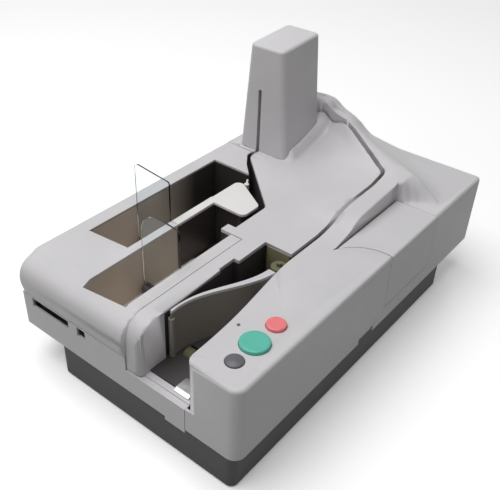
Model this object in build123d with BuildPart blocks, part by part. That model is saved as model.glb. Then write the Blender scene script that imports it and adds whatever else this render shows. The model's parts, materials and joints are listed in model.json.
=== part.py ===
"""Desktop cheque scanner: hopper, U-shaped paper track through a read tower, and two pockets.

Millimetres. +X is the operator's right, +Y the rear, +Z up. The origin is the middle of the footprint,
on the surface that the rubber feet stand on.
"""
import os
from math import cos, radians, sin, tan

from build123d import *

os.makedirs("parts", exist_ok=True)

# ---------------------------------------------------------------- overall sizes
body_width = 290.0
body_depth = 470.0
body_bottom = 42.0  # top of the dark plinth, bottom of the grey body
track_top = 72.0  # floor that the cheques stand on
deck_top = 130.0  # flat top surfaces of the body
tower_rise = 140.0  # tower above the deck
wall = 2.6  # moulded wall
seam = 0.6  # gap between neighbouring mouldings
seat = 0.2  # gap under a piece that slides or turns on a floor
nose_reach = 3.0  # the bullnose stands this far in front of the lower body
port_reach = 2.5  # the power switch stands this far behind the rear wall
edge_radius = 4.0  # rounded top edges
running = 0.06  # radial clearance of a pin or shaft in its bore

left, right = -body_width / 2, body_width / 2
front = -(body_depth + port_reach) / 2
rear = front + body_depth
face = front + nose_reach  # front face of the lower body
far = body_width + body_depth  # longer than anything that it cuts

# ---------------------------------------------------------------- plinth and feet
plinth_left_inset = 50.0
plinth_side_inset = 5.0
plinth_front_inset = 1.5
plinth_rear_inset = 60.0
plinth_bottom = 2.0
plinth_floor = 4.0
plinth_wall = 3.0
plinth_corner = 8.0
foot_radius = 8.0
foot_recess = 2.0
foot_edge = 22.0  # foot centre from the plinth's edges

# ---------------------------------------------------------------- chassis levels
tub_floor = 3.0
chassis_thickness = 3.0
track_floor_thickness = 3.0
chassis_top = track_top - track_floor_thickness
chassis_bottom = chassis_top - chassis_thickness
chassis_side_gap = 5.0
chassis_rear_gap = 34.0
post_radius = 6.0
post_edge = 10.0
screw_radius, screw_head_radius, screw_head = 1.5, 3.5, 2.2
screw_length = 12.0

# ---------------------------------------------------------------- pockets
pocket_edge = 20.5  # deck to the left of pocket 1
pocket_width = 53.5
divider_width = 10.0
second_pocket_width = 55.0
pocket_border = 14.5  # deck between pocket 2 and the central strip
pocket_slant = 5.0  # the pockets' front walls run back towards the right
pocket_1_front = face + 79.0
pocket_1_rear = face + 285.0
pocket_2_front = face + 14.0
border_rear = face + 173.4  # where the border beside pocket 2 ends
divider_joint = face + 150.0  # the cover's finger ends and the divider begins
head_front = face + 209.0
head_side = face + 237.0
head_back = face + 268.0
head_reach = 43.0  # head beyond the divider wall, towards the track
head_corner = 7.0
cover_bottom = 86.0
bullnose_run = 60.0  # length over which the bullnose reaches the deck
bullnose_corner = 5.0
tray_wall = 2.0
tray_floor = 2.5
pocket_1_left = left + pocket_edge
pocket_1_right = pocket_1_left + pocket_width
pocket_2_left = pocket_1_right + divider_width
pocket_2_right = pocket_2_left + second_pocket_width
tray_top = chassis_top + tray_floor

# ---------------------------------------------------------------- central strip and hopper
strip_left = pocket_2_right + pocket_border
strip_width = 18.8
strip_right = strip_left + strip_width
strip_recess = 1.8  # strip set back beside the pressing plate
recess_front = face + 35.5
notch_front = face + 118.0
notch_rear = face + 142.0
notch_depth = 4.0
hopper_rear = face + 186.0
hopper_side_step = 2.7  # strip edge behind the notch, further right
nose_bottom = 70.0
nose_set = 1.5  # the strip's nose stands this far behind the lower body's face
nose_run = 30.0
nose_corner = 7.0
control_width = 61.0  # control body at its front
control_waist = 65.4
control_hip = 72.7
waist_y = face + 82.0
hip_y = face + 134.0
control_corner = 12.0
sill_depth = 14.0
sill_reach = 44.0  # the sill runs this far to the left of pocket 2's right side

# ---------------------------------------------------------------- paper track
paper_gap = 4.6
track_x = right - 79.2  # middle of the track's right leg
tower_track_x = left + 46.0  # middle of the track's tower leg
track_back = rear - 44.8  # rearmost point of the track's middle line
return_radius = 50.7
corner_radius = 10.0
sharpest = 0.5  # radius of an edge whose own corner would be sharper
turn = 60.0  # degrees turned at the right-hand corner
exit_bend_y = face + 320.0
exit_x = left + 134.5  # island edge beside the pocket mouth
exit_corner_y = face + 240.0
exit_gap = 7.0
exit_corner_radius = 12.0
bracket_reach = 10.5
bracket_front = face + 174.0

return_centre = (tower_track_x + return_radius, track_back - return_radius)
return_start = (
    return_centre[0] + return_radius * cos(radians(turn)),
    return_centre[1] + return_radius * sin(radians(turn)),
)
leg_slope = tan(radians(90 - turn))  # the slanted leg falls this much to the right
vertex_y = return_start[1] - (track_x - return_start[0]) * leg_slope  # where the two legs would cross
corner_end_x = track_x - corner_radius * (1 - cos(radians(turn)))
corner_end_y = return_start[1] - (corner_end_x - return_start[0]) * leg_slope

# ---------------------------------------------------------------- tower, rim and rear block
tower_edge = 17.0
tower_left = left + tower_edge
tower_base_width = 71.0
tower_top_width = 48.0
tower_depth = 75.0
tower_rear = rear - 54.0
tower_front = tower_rear - tower_depth
tower_middle_x, tower_middle_y = tower_left + tower_base_width / 2, tower_rear - tower_depth / 2
tower_corner = 7.0
tower_top_slope = 3.0  # degrees, rising towards the rear
slit_rise = 82.0
slit_top = deck_top + slit_rise
rim_width = 23.5
rim_front = face + 224.0
block_front = rear - 135.0  # front edge of the rear block beside the pockets
block_corner = 6.0
rim_outer = paper_gap / 2 + rim_width
tower_seam = 0.3
tower_blend = 12.0  # concave rounding between the island and the tower's right side
surface_rows, surface_columns = 40, 48  # points at which the climbing surface is worked out
surface_tolerance = 0.3

# ---------------------------------------------------------------- side access cover
access_gap = 1.3
access_left = track_x + paper_gap / 2 + rim_width + access_gap
access_front = face + 251.0
access_sweep = 28.0  # the deck seam curves forwards by this much
access_rear = rear - 117.0
access_bottom = 62.0
barrel_radius = 2.2
barrel_depth = 3.4  # barrel's middle below the deck, under a thin skin of the cover
cover_skin = 1.0
hinge_pin_radius = 1.0
lug_length = 8.0
lug_edge = 8.0
lug_web = 5.0
barrel_x, barrel_z = access_left + barrel_radius + seat, deck_top - barrel_depth
lug_centres = (access_front - lug_edge - lug_length / 2, access_rear - lug_edge - lug_length / 2)

# ---------------------------------------------------------------- controls
button_x = right - 28.5
start_y, stop_y, function_y = face + 57.0, face + 88.5, face + 29.0
start_radius, stop_radius, function_radius = 14.5, 9.8, 8.8
start_lift, stop_lift, function_lift = 3.6, 3.2, 2.6
button_skirt = 5.0  # part of the button inside the deck
button_gap = 0.4
button_travel = 1.5
stem_radius = 2.5
board_top = 112.0
board_thickness = 1.6
board_front, board_depth, board_width = face + 12.0, 94.0, 44.0
lens_x, lens_y = right - 55.0, face + 67.0
lens_radius = 1.6

# ---------------------------------------------------------------- rollers, shafts and belts
shaft_radius = 3.0
drive_radius = 10.0
pinch_radius = 7.0
axle_radius = 2.0
nip = 0.3  # from the paper line to a roller
window_gap = 1.2  # room round a roller in its window
roller_lift, roller_length = 5.0, 41.0
roller_bottom, roller_top = track_top + roller_lift, track_top + roller_lift + roller_length
shaft_top = roller_top + 4.0
pulley_radius = 8.0
pulley_drop, pulley_length = 2.0, 8.0
pulley_top = chassis_bottom - pulley_drop
pulley_bottom = pulley_top - pulley_length
belt_thickness = 1.4
belt_slack = 0.25
first_roller_y, second_roller_y = face + 212.0, face + 318.0
third_roller_share = 0.6  # how far along the slanted leg the third pair stands
feed_radius = 11.0
separation_radius = 9.0
motor_radius, motor_height = 21.0, 38.0
feed_motor_radius, feed_motor_height = 18.0, 34.0


# ================================================================ shared outlines
def track_edge(side, end=block_front):
    """The track's line moved outwards by side, from the hopper end round to the tower leg."""
    across = (cos(radians(turn)), sin(radians(turn)))
    radius = max(corner_radius + side, sharpest)
    centre = (track_x + side - radius, vertex_y + (side - radius) * tan(radians(turn / 2)))
    Line((track_x + side, hopper_rear), (track_x + side, centre[1]))
    CenterArc(centre, radius, 0, turn)
    Line(
        (centre[0] + across[0] * radius, centre[1] + across[1] * radius),
        (return_start[0] + across[0] * side, return_start[1] + across[1] * side),
    )
    CenterArc(return_centre, return_radius + side, turn, 180 - turn)
    Line((tower_track_x - side, return_centre[1]), (tower_track_x - side, end))


def track_band(inner, outer):
    """Plan of a band that follows the track, between two distances outwards from its line."""
    with BuildSketch() as plan:
        with BuildLine():
            track_edge(inner)
            Line((tower_track_x - inner, block_front), (tower_track_x - outer, block_front))
            track_edge(outer)
            Line((track_x + outer, hopper_rear), (track_x + inner, hopper_rear))
        make_face()
    return plan.sketch


def island_plan():
    """Plan of the central strip and the island inside the track."""
    edge = paper_gap / 2
    step_x = strip_right + hopper_side_step
    with BuildSketch() as plan:
        with BuildLine():
            track_edge(-edge)
            FilletPolyline(
                (tower_track_x + edge, block_front),
                (tower_track_x + edge, exit_bend_y),
                (exit_x, exit_corner_y),
                (exit_x, hopper_rear),
                radius=exit_corner_radius,
            )
            Polyline(
                (exit_x, hopper_rear),
                (exit_x - bracket_reach, hopper_rear),
                (exit_x - bracket_reach, bracket_front),
                (strip_left, bracket_front),
                (strip_left, face + nose_set),
                (strip_right, face + nose_set),
                (strip_right, recess_front),
                (strip_right - strip_recess, recess_front),
                (strip_right - strip_recess, notch_front),
                (strip_right - notch_depth, notch_front),
                (strip_right - notch_depth, notch_rear),
                (step_x, notch_rear),
                (step_x, hopper_rear),
                (track_x - edge, hopper_rear),
            )
        make_face()
        nose_vertex = plan.vertices().group_by(Axis.Y)[0].sort_by(Axis.X)[-1]
        fillet(nose_vertex, radius=nose_corner)
    return plan.sketch


def housing_plan(inset=0.0):
    """Plan of the control body, the outer rim and the rear block, or of the hollow inside them."""
    edge = paper_gap / 2 + inset
    control_left = right - control_width + inset
    with BuildSketch() as plan:
        with BuildLine():
            track_edge(edge, block_front + inset)
            Polyline(
                (tower_track_x - edge, block_front + inset),
                (left + inset, block_front + inset),
                (left + inset, rear - inset),
                (right - inset, rear - inset),
                (right - inset, face + inset),
                (control_left, face + inset),
            )
            Spline(
                (control_left, face + inset),
                (right - control_waist + inset, waist_y),
                (right - control_hip + inset, hip_y),
                (track_x + edge, hopper_rear),
                tangents=[(0, 1), (0, 1)],
            )
        make_face()
        fillet(plan.vertices().group_by(Axis.Y)[-1], radius=block_corner - inset)
        fillet(plan.vertices().group_by(Axis.Y)[0].sort_by(Axis.X)[-1], radius=control_corner - inset)
    return plan.sketch


def cover_plan():
    """Plan of the pocket cover: a deck with two long openings, the second one open to the rear."""
    right_edge = strip_left - seam
    near_track = tower_track_x - exit_gap / 2
    with BuildSketch() as plan:
        Polygon(
            (left, front),
            (right_edge, front),
            (right_edge, border_rear - seam),
            (pocket_2_right, border_rear - seam),
            (pocket_2_right, pocket_2_front + pocket_slant),
            (pocket_2_left, pocket_2_front),
            (pocket_2_left, divider_joint - seam),
            (pocket_1_right, divider_joint - seam),
            (pocket_1_right, pocket_1_front + pocket_slant),
            (pocket_1_left, pocket_1_front),
            (pocket_1_left, pocket_1_rear),
            (pocket_1_right, pocket_1_rear),
            (near_track + 14, pocket_1_rear + 18),
            (near_track, exit_bend_y + 2),
            (near_track, block_front - seam),
            (left, block_front - seam),
            align=None,
        )
    return plan.sketch


def pocket_plan(grow=0.0, rear_reach=0.0):
    """Plan of both pockets, grown by the tray's wall; the second one runs on to the rear."""
    second_rear = border_rear - seam + rear_reach
    with BuildSketch() as plan:
        Polygon(
            (pocket_1_left - grow, pocket_1_front - grow),
            (pocket_1_right + grow, pocket_1_front + pocket_slant - grow),
            (pocket_1_right + grow, pocket_1_rear + grow),
            (pocket_1_left - grow, pocket_1_rear + grow),
            align=None,
        )
        Polygon(
            (pocket_2_left - grow, pocket_2_front - grow),
            (pocket_2_right + grow, pocket_2_front + pocket_slant - grow),
            (pocket_2_right + grow, second_rear),
            (pocket_2_left - grow, second_rear),
            align=None,
        )
    return plan.sketch


def bullnose_section(set_back, drop):
    """Side view of the pocket cover behind its rounded front, set back and lowered for the hollow."""
    with BuildSketch() as section:
        with BuildLine():
            Spline(
                (face + set_back, cover_bottom),
                (front + set_back, cover_bottom + 18 - drop / 2),
                (front + 6 + set_back, deck_top - 10.5 - drop),
                (front + 20 + set_back, deck_top - 3 - drop),
                (face + bullnose_run, deck_top - drop),
                tangents=[(-0.25, 1), (1, 0)],
            )
            Polyline(
                (face + bullnose_run, deck_top - drop),
                (rear, deck_top - drop),
                (rear, cover_bottom),
                (face + set_back, cover_bottom),
            )
        make_face()
    return section.sketch


def nose_section(set_back, drop):
    """Side view of the strip behind its rounded nose."""
    start = face + nose_set + set_back
    with BuildSketch() as section:
        with BuildLine():
            Spline(
                (start, deck_top - 30),
                (start + 9, deck_top - 5.5 - drop),
                (start + nose_run, deck_top - drop),
                tangents=[(0, 1), (1, 0)],
            )
            Polyline(
                (start + nose_run, deck_top - drop),
                (rear, deck_top - drop),
                (rear, body_bottom),
                (start, body_bottom),
                (start, deck_top - 30),
            )
        make_face()
    return section.sketch


def smooth_through(places, values, at):
    """Value at a place on a smooth curve through values at rising places, without overshoot."""
    at = min(max(at, places[0]), places[-1])
    slopes = [
        (values[i + 1] - values[i]) / (places[i + 1] - places[i]) for i in range(len(places) - 1)
    ]
    ends = [slopes[0]] + [
        2 * a * b / (a + b) if a * b > 0 else 0.0 for a, b in zip(slopes, slopes[1:])
    ] + [slopes[-1]]
    i = max(k for k in range(len(slopes)) if places[k] <= at)
    run = places[i + 1] - places[i]
    t = (at - places[i]) / run
    return (
        values[i] * (1 + 2 * t) * (1 - t) ** 2 + run * ends[i] * t * (1 - t) ** 2
        + values[i + 1] * t ** 2 * (3 - 2 * t) - run * ends[i + 1] * t ** 2 * (1 - t)
    )


def climbing_top(drop=0.0):
    """Solid under the concave surface that climbs from the flat strip to the tower and the rim."""
    # at each distance from the front: height above the deck beside the tower, midway, at the track
    # and at the rim's outer edge; where the deck stays flat, the surface runs a little below it
    under = -0.8
    stations = (
        (rim_front, under, under, under, under),
        (rim_front + 28, under, 1.0, 3.0, 6.0),
        (rim_front + 47, under, 3.0, 10.5, 14.5),
        (rim_front + 67, under, 5.5, 13.6, 16.5),
        (tower_front - 1, 0.6, 8.5, 14.6, 20.0),
        (access_rear, 1.2, 10.5, 17.0, 22.0),
        (vertex_y, 3.0, 13.5, 20.5, 23.0),
        (vertex_y + 24, 9.0, 19.5, 31.0, 23.0),
        (tower_rear, 19.0, 27.0, 40.0, 21.5),
        (tower_rear + 15, 41.0, 40.0, 38.0, 22.0),
        (rear - 18, 36.0, 33.0, 28.0, 14.0),
        (rear - edge_radius, under, under, under, under),
    )
    distances, *heights = zip(*stations)
    surface_left, surface_right = left + edge_radius, right - edge_radius
    tower_side = tower_left + tower_base_width
    blend_side = tower_side + tower_blend
    corner_rim_y = vertex_y + rim_outer * tan(radians(turn / 2))
    rows = []
    for row in range(surface_rows + 1):
        y = rim_front + (distances[-1] - rim_front) * row / surface_rows
        beside_tower, midway, at_track, at_rim = [smooth_through(distances, h, y) for h in heights]
        blend = smooth_through(
            (rim_front, tower_front, tower_front + 14, rear - 18, distances[-1]),
            (0.0, 0.0, tower_blend * 0.9, tower_blend * 0.9, 0.0), y,
        )
        track_at = max(track_x - max(y - vertex_y, 0) / leg_slope, blend_side + 2 * tower_blend)
        rim_at = max(track_x + rim_outer - max(y - corner_rim_y, 0) / leg_slope, track_at + rim_width)
        foot_at = min(rim_at + 9 + 1.6 * max(y - access_rear, 0), surface_right - 1)
        places = (
            surface_left, tower_side, blend_side, (blend_side + track_at) / 2, track_at, rim_at,
            foot_at, surface_right,
        )
        profile = (beside_tower + blend, beside_tower + blend, beside_tower, midway, at_track, at_rim, under, under)
        across = [
            surface_left + (surface_right - surface_left) * i / surface_columns
            for i in range(surface_columns + 1)
        ]
        rows.append([Vector(x, y, deck_top - drop + smooth_through(places, profile, x)) for x in across])
    surface = Face.make_surface_from_array_of_points(rows, tol=surface_tolerance)
    with BuildPart() as climb:
        extrude(surface, amount=tower_rise, dir=(0, 0, -1))
    return climb.part


def hump(plan, top):
    """What stands above the deck on a plan, under the climbing surface."""
    with BuildPart() as raised:
        with BuildSketch(Plane.XY.offset(deck_top - wall)):
            add(plan)
        extrude(amount=tower_rise)
        add(top, mode=Mode.INTERSECT)
    return raised.part


def tower_block(inset=0.0, foot=0.0):
    """Tower body: upright front and back, sides that lean in, top rising to the rear."""
    top = deck_top + tower_rise
    with BuildPart() as block:
        for z, width in ((deck_top - foot, tower_base_width), (top, tower_top_width)):
            with BuildSketch(Plane.XY.offset(z)):
                with Locations((tower_middle_x, tower_middle_y)):
                    RectangleRounded(
                        width - 2 * inset, tower_depth - 2 * inset, tower_corner - inset
                    )
        loft()
        if inset:
            split(bisect_by=Plane.XY.offset(top - 2 * inset), keep=Keep.BOTTOM)
        else:
            slope_plane = Plane.XY.offset(top - 2).rotated((tower_top_slope, 0, 0))
            slope_plane.origin = (tower_middle_x, tower_middle_y, top - 2)
            split(bisect_by=slope_plane, keep=Keep.BOTTOM)
    return block.part


def upright_box(x, y, bottom, width, depth, height, mode=Mode.ADD):
    """Box that stands at a height, centred in plan."""
    with Locations((x, y, bottom)):
        Box(width, depth, height, align=(Align.CENTER, Align.CENTER, Align.MIN), mode=mode)


def spanning_box(low, high, mode=Mode.ADD):
    """Box between two opposite corners."""
    size = [b - a for a, b in zip(low, high)]
    with Locations(tuple(low)):
        Box(*size, align=(Align.MIN, Align.MIN, Align.MIN), mode=mode)


def upright_rod(places, bottom, top, radius, mode=Mode.ADD):
    """Cylinders that stand at each place in plan."""
    with Locations(*[(x, y, bottom) for x, y in places]):
        Cylinder(radius, top - bottom, align=(Align.CENTER, Align.CENTER, Align.MIN), mode=mode)


# ================================================================ where the rollers stand
def beside_diagonal(along, side):
    """Point near the slanted leg: along it from the corner (0) to the return (1), outwards by side."""
    x = corner_end_x + (return_start[0] - corner_end_x) * along
    y = corner_end_y + (return_start[1] - corner_end_y) * along
    return x + cos(radians(turn)) * side, y + sin(radians(turn)) * side


drive_side, pinch_side = nip + drive_radius, nip + pinch_radius
drive_places = (
    (track_x - drive_side, first_roller_y),
    (track_x - drive_side, second_roller_y),
    beside_diagonal(third_roller_share, -drive_side),
)
pinch_places = (
    (track_x + pinch_side, first_roller_y),
    (track_x + pinch_side, second_roller_y),
    beside_diagonal(third_roller_share, pinch_side),
)
motor_place = ((tower_track_x + track_x) / 2 - 8.4, face + 300.0)
feed_place = (track_x + nip + feed_radius, face + 177.0)
pickup_place = (right - control_hip + feed_radius - 2.0, face + 140.0)
separation_place = (track_x - nip - separation_radius, face + 175.5)
feed_motor_place = (right - 31.0, face + 158.0)
shaft_places = drive_places + (feed_place, pickup_place, separation_place)
post_places = (
    (left + post_edge, face + post_edge + 8),
    (left + post_edge, face + 260.0),
    (left + post_edge, rear - 50.0),
    (right - post_edge, face + post_edge + 8),
    (right - post_edge, face + 230.0),
    (right - post_edge, rear - 50.0),
    (strip_left - 8.0, face + 100.0),
    (strip_left + 10.5, rear - 42.0),
)

# ================================================================ plinth and feet
plinth_x_range = (left + plinth_left_inset, right - plinth_side_inset)
plinth_y_range = (face + plinth_front_inset, rear - plinth_rear_inset)
plinth_x, plinth_y = sum(plinth_x_range) / 2, sum(plinth_y_range) / 2
plinth_width = plinth_x_range[1] - plinth_x_range[0]
plinth_depth = plinth_y_range[1] - plinth_y_range[0]
foot_spans = (plinth_width - 2 * foot_edge, plinth_depth - 2 * foot_edge)

with BuildPart() as base_plinth:
    with BuildSketch(Plane.XY.offset(plinth_bottom)):
        with Locations((plinth_x, plinth_y)):
            RectangleRounded(plinth_width, plinth_depth, plinth_corner)
    extrude(amount=body_bottom - plinth_bottom)
    with BuildSketch(Plane.XY.offset(plinth_bottom + plinth_floor)):
        with Locations((plinth_x, plinth_y)):
            RectangleRounded(
                plinth_width - 2 * plinth_wall, plinth_depth - 2 * plinth_wall, plinth_corner - plinth_wall
            )
    extrude(amount=body_bottom, mode=Mode.SUBTRACT)
    with Locations((plinth_x, plinth_y, plinth_bottom)):
        with GridLocations(*foot_spans, 2, 2):
            Cylinder(
                foot_radius, foot_recess,
                align=(Align.CENTER, Align.CENTER, Align.MIN), mode=Mode.SUBTRACT,
            )
base_plinth.part.label = "base_plinth"
export_step(base_plinth.part, "parts/base_plinth.step")

with BuildPart() as rubber_feet:
    with Locations((plinth_x, plinth_y, 0)):
        with GridLocations(*foot_spans, 2, 2):
            Cylinder(
                foot_radius, plinth_bottom + foot_recess, align=(Align.CENTER, Align.CENTER, Align.MIN)
            )
rubber_feet.part.label = "rubber_feet"
export_step(rubber_feet.part, "parts/rubber_feet.step")

# ================================================================ lower housing
tub_inset = wall + 0.4
tub_chamfer = 6.0
sill_right = right - control_width - seam
front_wall_right = strip_left - seam
slot_low, slot_high = track_top + 0.5, cover_bottom - 2.5
finger_slots = ((left + 15, left + 71), (left + 84, left + 96))
tab_width, tab_drop, tab_thickness = 25.4, 4.5, 1.1

with BuildPart() as lower_housing:
    with BuildSketch(Plane.XY.offset(body_bottom)):
        Polygon(
            (left, face),
            (sill_right, face),
            (sill_right, face + tub_inset),
            (right - tub_inset - tub_chamfer, face + tub_inset),
            (right - tub_inset, face + tub_inset + tub_chamfer),
            (right - tub_inset, rear - tub_inset - tub_chamfer),
            (right - tub_inset - tub_chamfer, rear - tub_inset),
            (left + tub_inset + tub_chamfer, rear - tub_inset),
            (left + tub_inset, rear - tub_inset - tub_chamfer),
            (left + tub_inset, block_front - seam),
            (left, block_front - seam),
            align=None,
        )
    extrude(amount=tub_floor)
    # side and front walls up to the pocket cover, then the lower front wall of the hopper sill
    spanning_box((left, face, body_bottom), (left + wall, block_front - seam, cover_bottom - seam))
    spanning_box((left, face, body_bottom), (front_wall_right, face + wall, cover_bottom - seam))
    spanning_box((left, face, body_bottom), (sill_right, face + wall, nose_bottom - 1))
    # ledge below the pockets, and a higher sill behind it in front of the hopper
    sill_left = pocket_2_right - sill_reach
    spanning_box(
        (sill_left, face, nose_bottom - 4), (sill_right, face + sill_depth / 2, nose_bottom - 1.4)
    )
    spanning_box(
        (front_wall_right, face + sill_depth / 2, nose_bottom - 4),
        (sill_right, face + sill_depth, nose_bottom),
    )
    # finger slots under the bullnose, either side of a post
    for slot_left, slot_right in finger_slots:
        spanning_box(
            (slot_left, face - wall, slot_low), (slot_right, face + 2 * wall, slot_high), Mode.SUBTRACT
        )
    # tab that hangs in front of the plinth
    spanning_box(
        (sill_right - tab_width, face, body_bottom - tab_drop),
        (sill_right, face + tab_thickness, body_bottom + tub_floor),
    )
    # posts that carry the chassis
    upright_rod(post_places, body_bottom, chassis_bottom, post_radius)
    upright_rod(post_places, body_bottom + tub_floor, chassis_bottom, screw_radius, Mode.SUBTRACT)
lower_housing.part.label = "lower_housing"
export_step(lower_housing.part, "parts/lower_housing.step")

# ================================================================ main housing
side_notch = (face + 203.0, face + 232.0)
side_notch_height = 8.0
sensor_width, sensor_depth = 11.0, 20.0
sensor_clearance = 0.3
sensor_y = tower_front + 24.0
magnet_y, magnet_width, magnet_depth, magnet_height = face + 264.0, 9.0, 14.0, 34.0
board_spans = (board_width - 9.0, board_depth - 9.0)
board_y = board_front + board_depth / 2
boss_radius = 3.0
inlet_x, sockets_x, switch_x = right - 62.0, right - 104.0, right - 30.0
port_z = chassis_bottom + 7.0
inlet_size, socket_size, switch_size = (28.0, 20.0), (34.0, 13.0), (15.0, 21.0)
climb, inner_climb = climbing_top(), climbing_top(wall)


def raised_plan(inset=0.0):
    """Plan of the rim round the track and of the slope behind the access cover."""
    band = rim_outer / 2  # the slope's plan starts inside the rim
    slope_front = access_rear + seam + inset
    slope_right, slope_rear = right - edge_radius - inset, rear - edge_radius - inset
    with BuildSketch() as plan:
        add(track_band(paper_gap / 2 + inset, rim_outer - inset))
        Polygon(
            (track_x + band, slope_front),
            (slope_right, slope_front),
            (slope_right, slope_rear),
            (return_start[0] + band * cos(radians(turn)), slope_rear),
            (return_start[0] + band * cos(radians(turn)), return_start[1] + band * sin(radians(turn))),
            (track_x + band, vertex_y + band * tan(radians(turn / 2))),
            align=None,
        )
    return plan.sketch


def access_plan(grow=0.0):
    """Plan of the side access cover, with its curved front seam."""
    shift = 1.6 * grow
    left_edge = access_left - (access_gap if grow else 0)
    seam_start = (left_edge, access_front - access_sweep - shift - 3.5 * grow)
    seam_end = (right + 2 * grow, access_front - shift)
    with BuildSketch() as plan:
        with BuildLine():
            ThreePointArc(seam_start, (access_left + 20, access_front - 6 - shift), seam_end)
            Polyline(
                seam_end,
                (seam_end[0], access_rear + grow),
                (left_edge, access_rear + grow),
                seam_start,
            )
        make_face()
    return plan.sketch


def sensor_windows(clearance=sensor_clearance):
    """Openings for the two image sensors, either side of the track in the tower."""
    for side in (-1, 1):
        x = tower_track_x + side * (paper_gap / 2 + sensor_width / 2)
        upright_box(
            x, sensor_y, track_top, sensor_width + 2 * clearance, sensor_depth + 2 * clearance,
            slit_top - track_top, Mode.SUBTRACT,
        )


with BuildPart() as main_housing:
    with BuildSketch(Plane.XY.offset(body_bottom)):
        add(housing_plan())
    extrude(amount=deck_top - body_bottom)
    outer_top = main_housing.edges().group_by(Axis.Z)[-1].filter_by(
        lambda e: e.center().X > right - 5 or e.center().Y > rear - 5 or e.center().X < left + 1
        or (e.center().Y < face + 5 and e.center().X > right - control_width + 1)
    )
    fillet(outer_top, radius=edge_radius)
    # the corner beside the hopper is round above the sill
    corner_middle = (right - control_width + control_corner, face + control_corner)
    with BuildSketch(Plane.XY.offset(nose_bottom)):
        with Locations(corner_middle):
            Rectangle(
                control_corner * 2, control_corner * 2, align=(Align.MAX, Align.MAX)
            )
            Circle(control_corner, mode=Mode.SUBTRACT)
    extrude(amount=far, mode=Mode.SUBTRACT)
    # upper hollow, inside every wall
    with BuildSketch(Plane.XY.offset(track_top)):
        add(housing_plan(wall))
    extrude(amount=deck_top - wall - track_top, mode=Mode.SUBTRACT)
    # lower hollow, open to the tub
    with BuildSketch(Plane.XY.offset(body_bottom)):
        Polygon(
            (left + wall, block_front - 1),
            (left + wall, rear - wall - tub_chamfer),
            (left + wall + tub_chamfer, rear - wall),
            (right - wall - tub_chamfer, rear - wall),
            (right - wall, rear - wall - tub_chamfer),
            (right - wall, face + wall + tub_chamfer),
            (right - wall - tub_chamfer, face + wall),
            (right - control_width - 1, face + wall),
            (strip_right, face + wall),
            (strip_right, block_front - 1),
            align=None,
        )
    extrude(amount=track_top - body_bottom, mode=Mode.SUBTRACT)
    # raised rim round the outside of the track, and its hollow
    add(hump(raised_plan(), climb))
    add(hump(raised_plan(wall), inner_climb), mode=Mode.SUBTRACT)
    add(tower_block(-tower_seam), mode=Mode.SUBTRACT)
    sensor_windows()
    # opening of the access cover in the deck and in the side wall
    with BuildSketch(Plane.XY.offset(deck_top - wall)):
        add(access_plan(seam))
    extrude(amount=wall + edge_radius, mode=Mode.SUBTRACT)
    spanning_box(
        (right - wall - edge_radius, access_front - seam, access_bottom - seam),
        (right + wall, access_rear + seam, deck_top + wall), Mode.SUBTRACT,
    )
    # two lugs under the access cover's skin that hold the ends of its pin
    for y in lug_centres:
        lug_front, lug_rear = y - lug_length / 2, y + lug_length / 2
        with Locations((barrel_x, y, barrel_z)):
            Cylinder(barrel_radius, lug_length, rotation=(90, 0, 0))
        spanning_box(
            (access_left - access_gap - wall, lug_front, barrel_z - lug_web),
            (barrel_x + barrel_radius / 2, lug_rear, barrel_z - barrel_radius + seat),
        )
        spanning_box(
            (access_left - access_gap - wall, lug_front, barrel_z - lug_web),
            (access_left - access_gap, lug_rear, deck_top - wall + seat),
        )
        with Locations((barrel_x, y, barrel_z)):
            Cylinder(hinge_pin_radius, lug_length, rotation=(90, 0, 0), mode=Mode.SUBTRACT)
    # windows of the rollers and the magnetic head in the track wall
    upright_rod(
        pinch_places, roller_bottom - window_gap, roller_top + window_gap, pinch_radius + window_gap,
        Mode.SUBTRACT,
    )
    upright_rod(
        (feed_place, pickup_place), roller_bottom - window_gap, roller_top + window_gap,
        feed_radius + window_gap, Mode.SUBTRACT,
    )
    upright_box(
        track_x + paper_gap / 2 + wall / 2, magnet_y, track_top,
        2 * wall, magnet_depth + window_gap, magnet_height + window_gap, Mode.SUBTRACT,
    )
    # holes for the buttons and the lens, and bosses for the panel board
    for y, radius in ((start_y, start_radius), (stop_y, stop_radius), (function_y, function_radius)):
        upright_rod([(button_x, y)], deck_top - 2 * wall, far, radius + button_gap, Mode.SUBTRACT)
    upright_rod([(lens_x, lens_y)], deck_top - 2 * wall, far, lens_radius, Mode.SUBTRACT)
    with Locations((button_x, board_y, board_top)):
        with GridLocations(*board_spans, 2, 2):
            Cylinder(
                boss_radius, deck_top - wall / 2 - board_top, align=(Align.CENTER, Align.CENTER, Align.MIN)
            )
    # small notch in the lower edge of the side wall, and openings for the ports at the back
    spanning_box(
        (right - 2 * wall, side_notch[0], body_bottom - 1),
        (right + wall, side_notch[1], body_bottom + side_notch_height), Mode.SUBTRACT,
    )
    for x, (width, height) in ((inlet_x, inlet_size), (sockets_x, socket_size), (switch_x, switch_size)):
        upright_box(x, rear, port_z, width, 4 * wall, height, Mode.SUBTRACT)
main_housing.part.label = "main_housing"
export_step(main_housing.part, "parts/main_housing.step")

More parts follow.
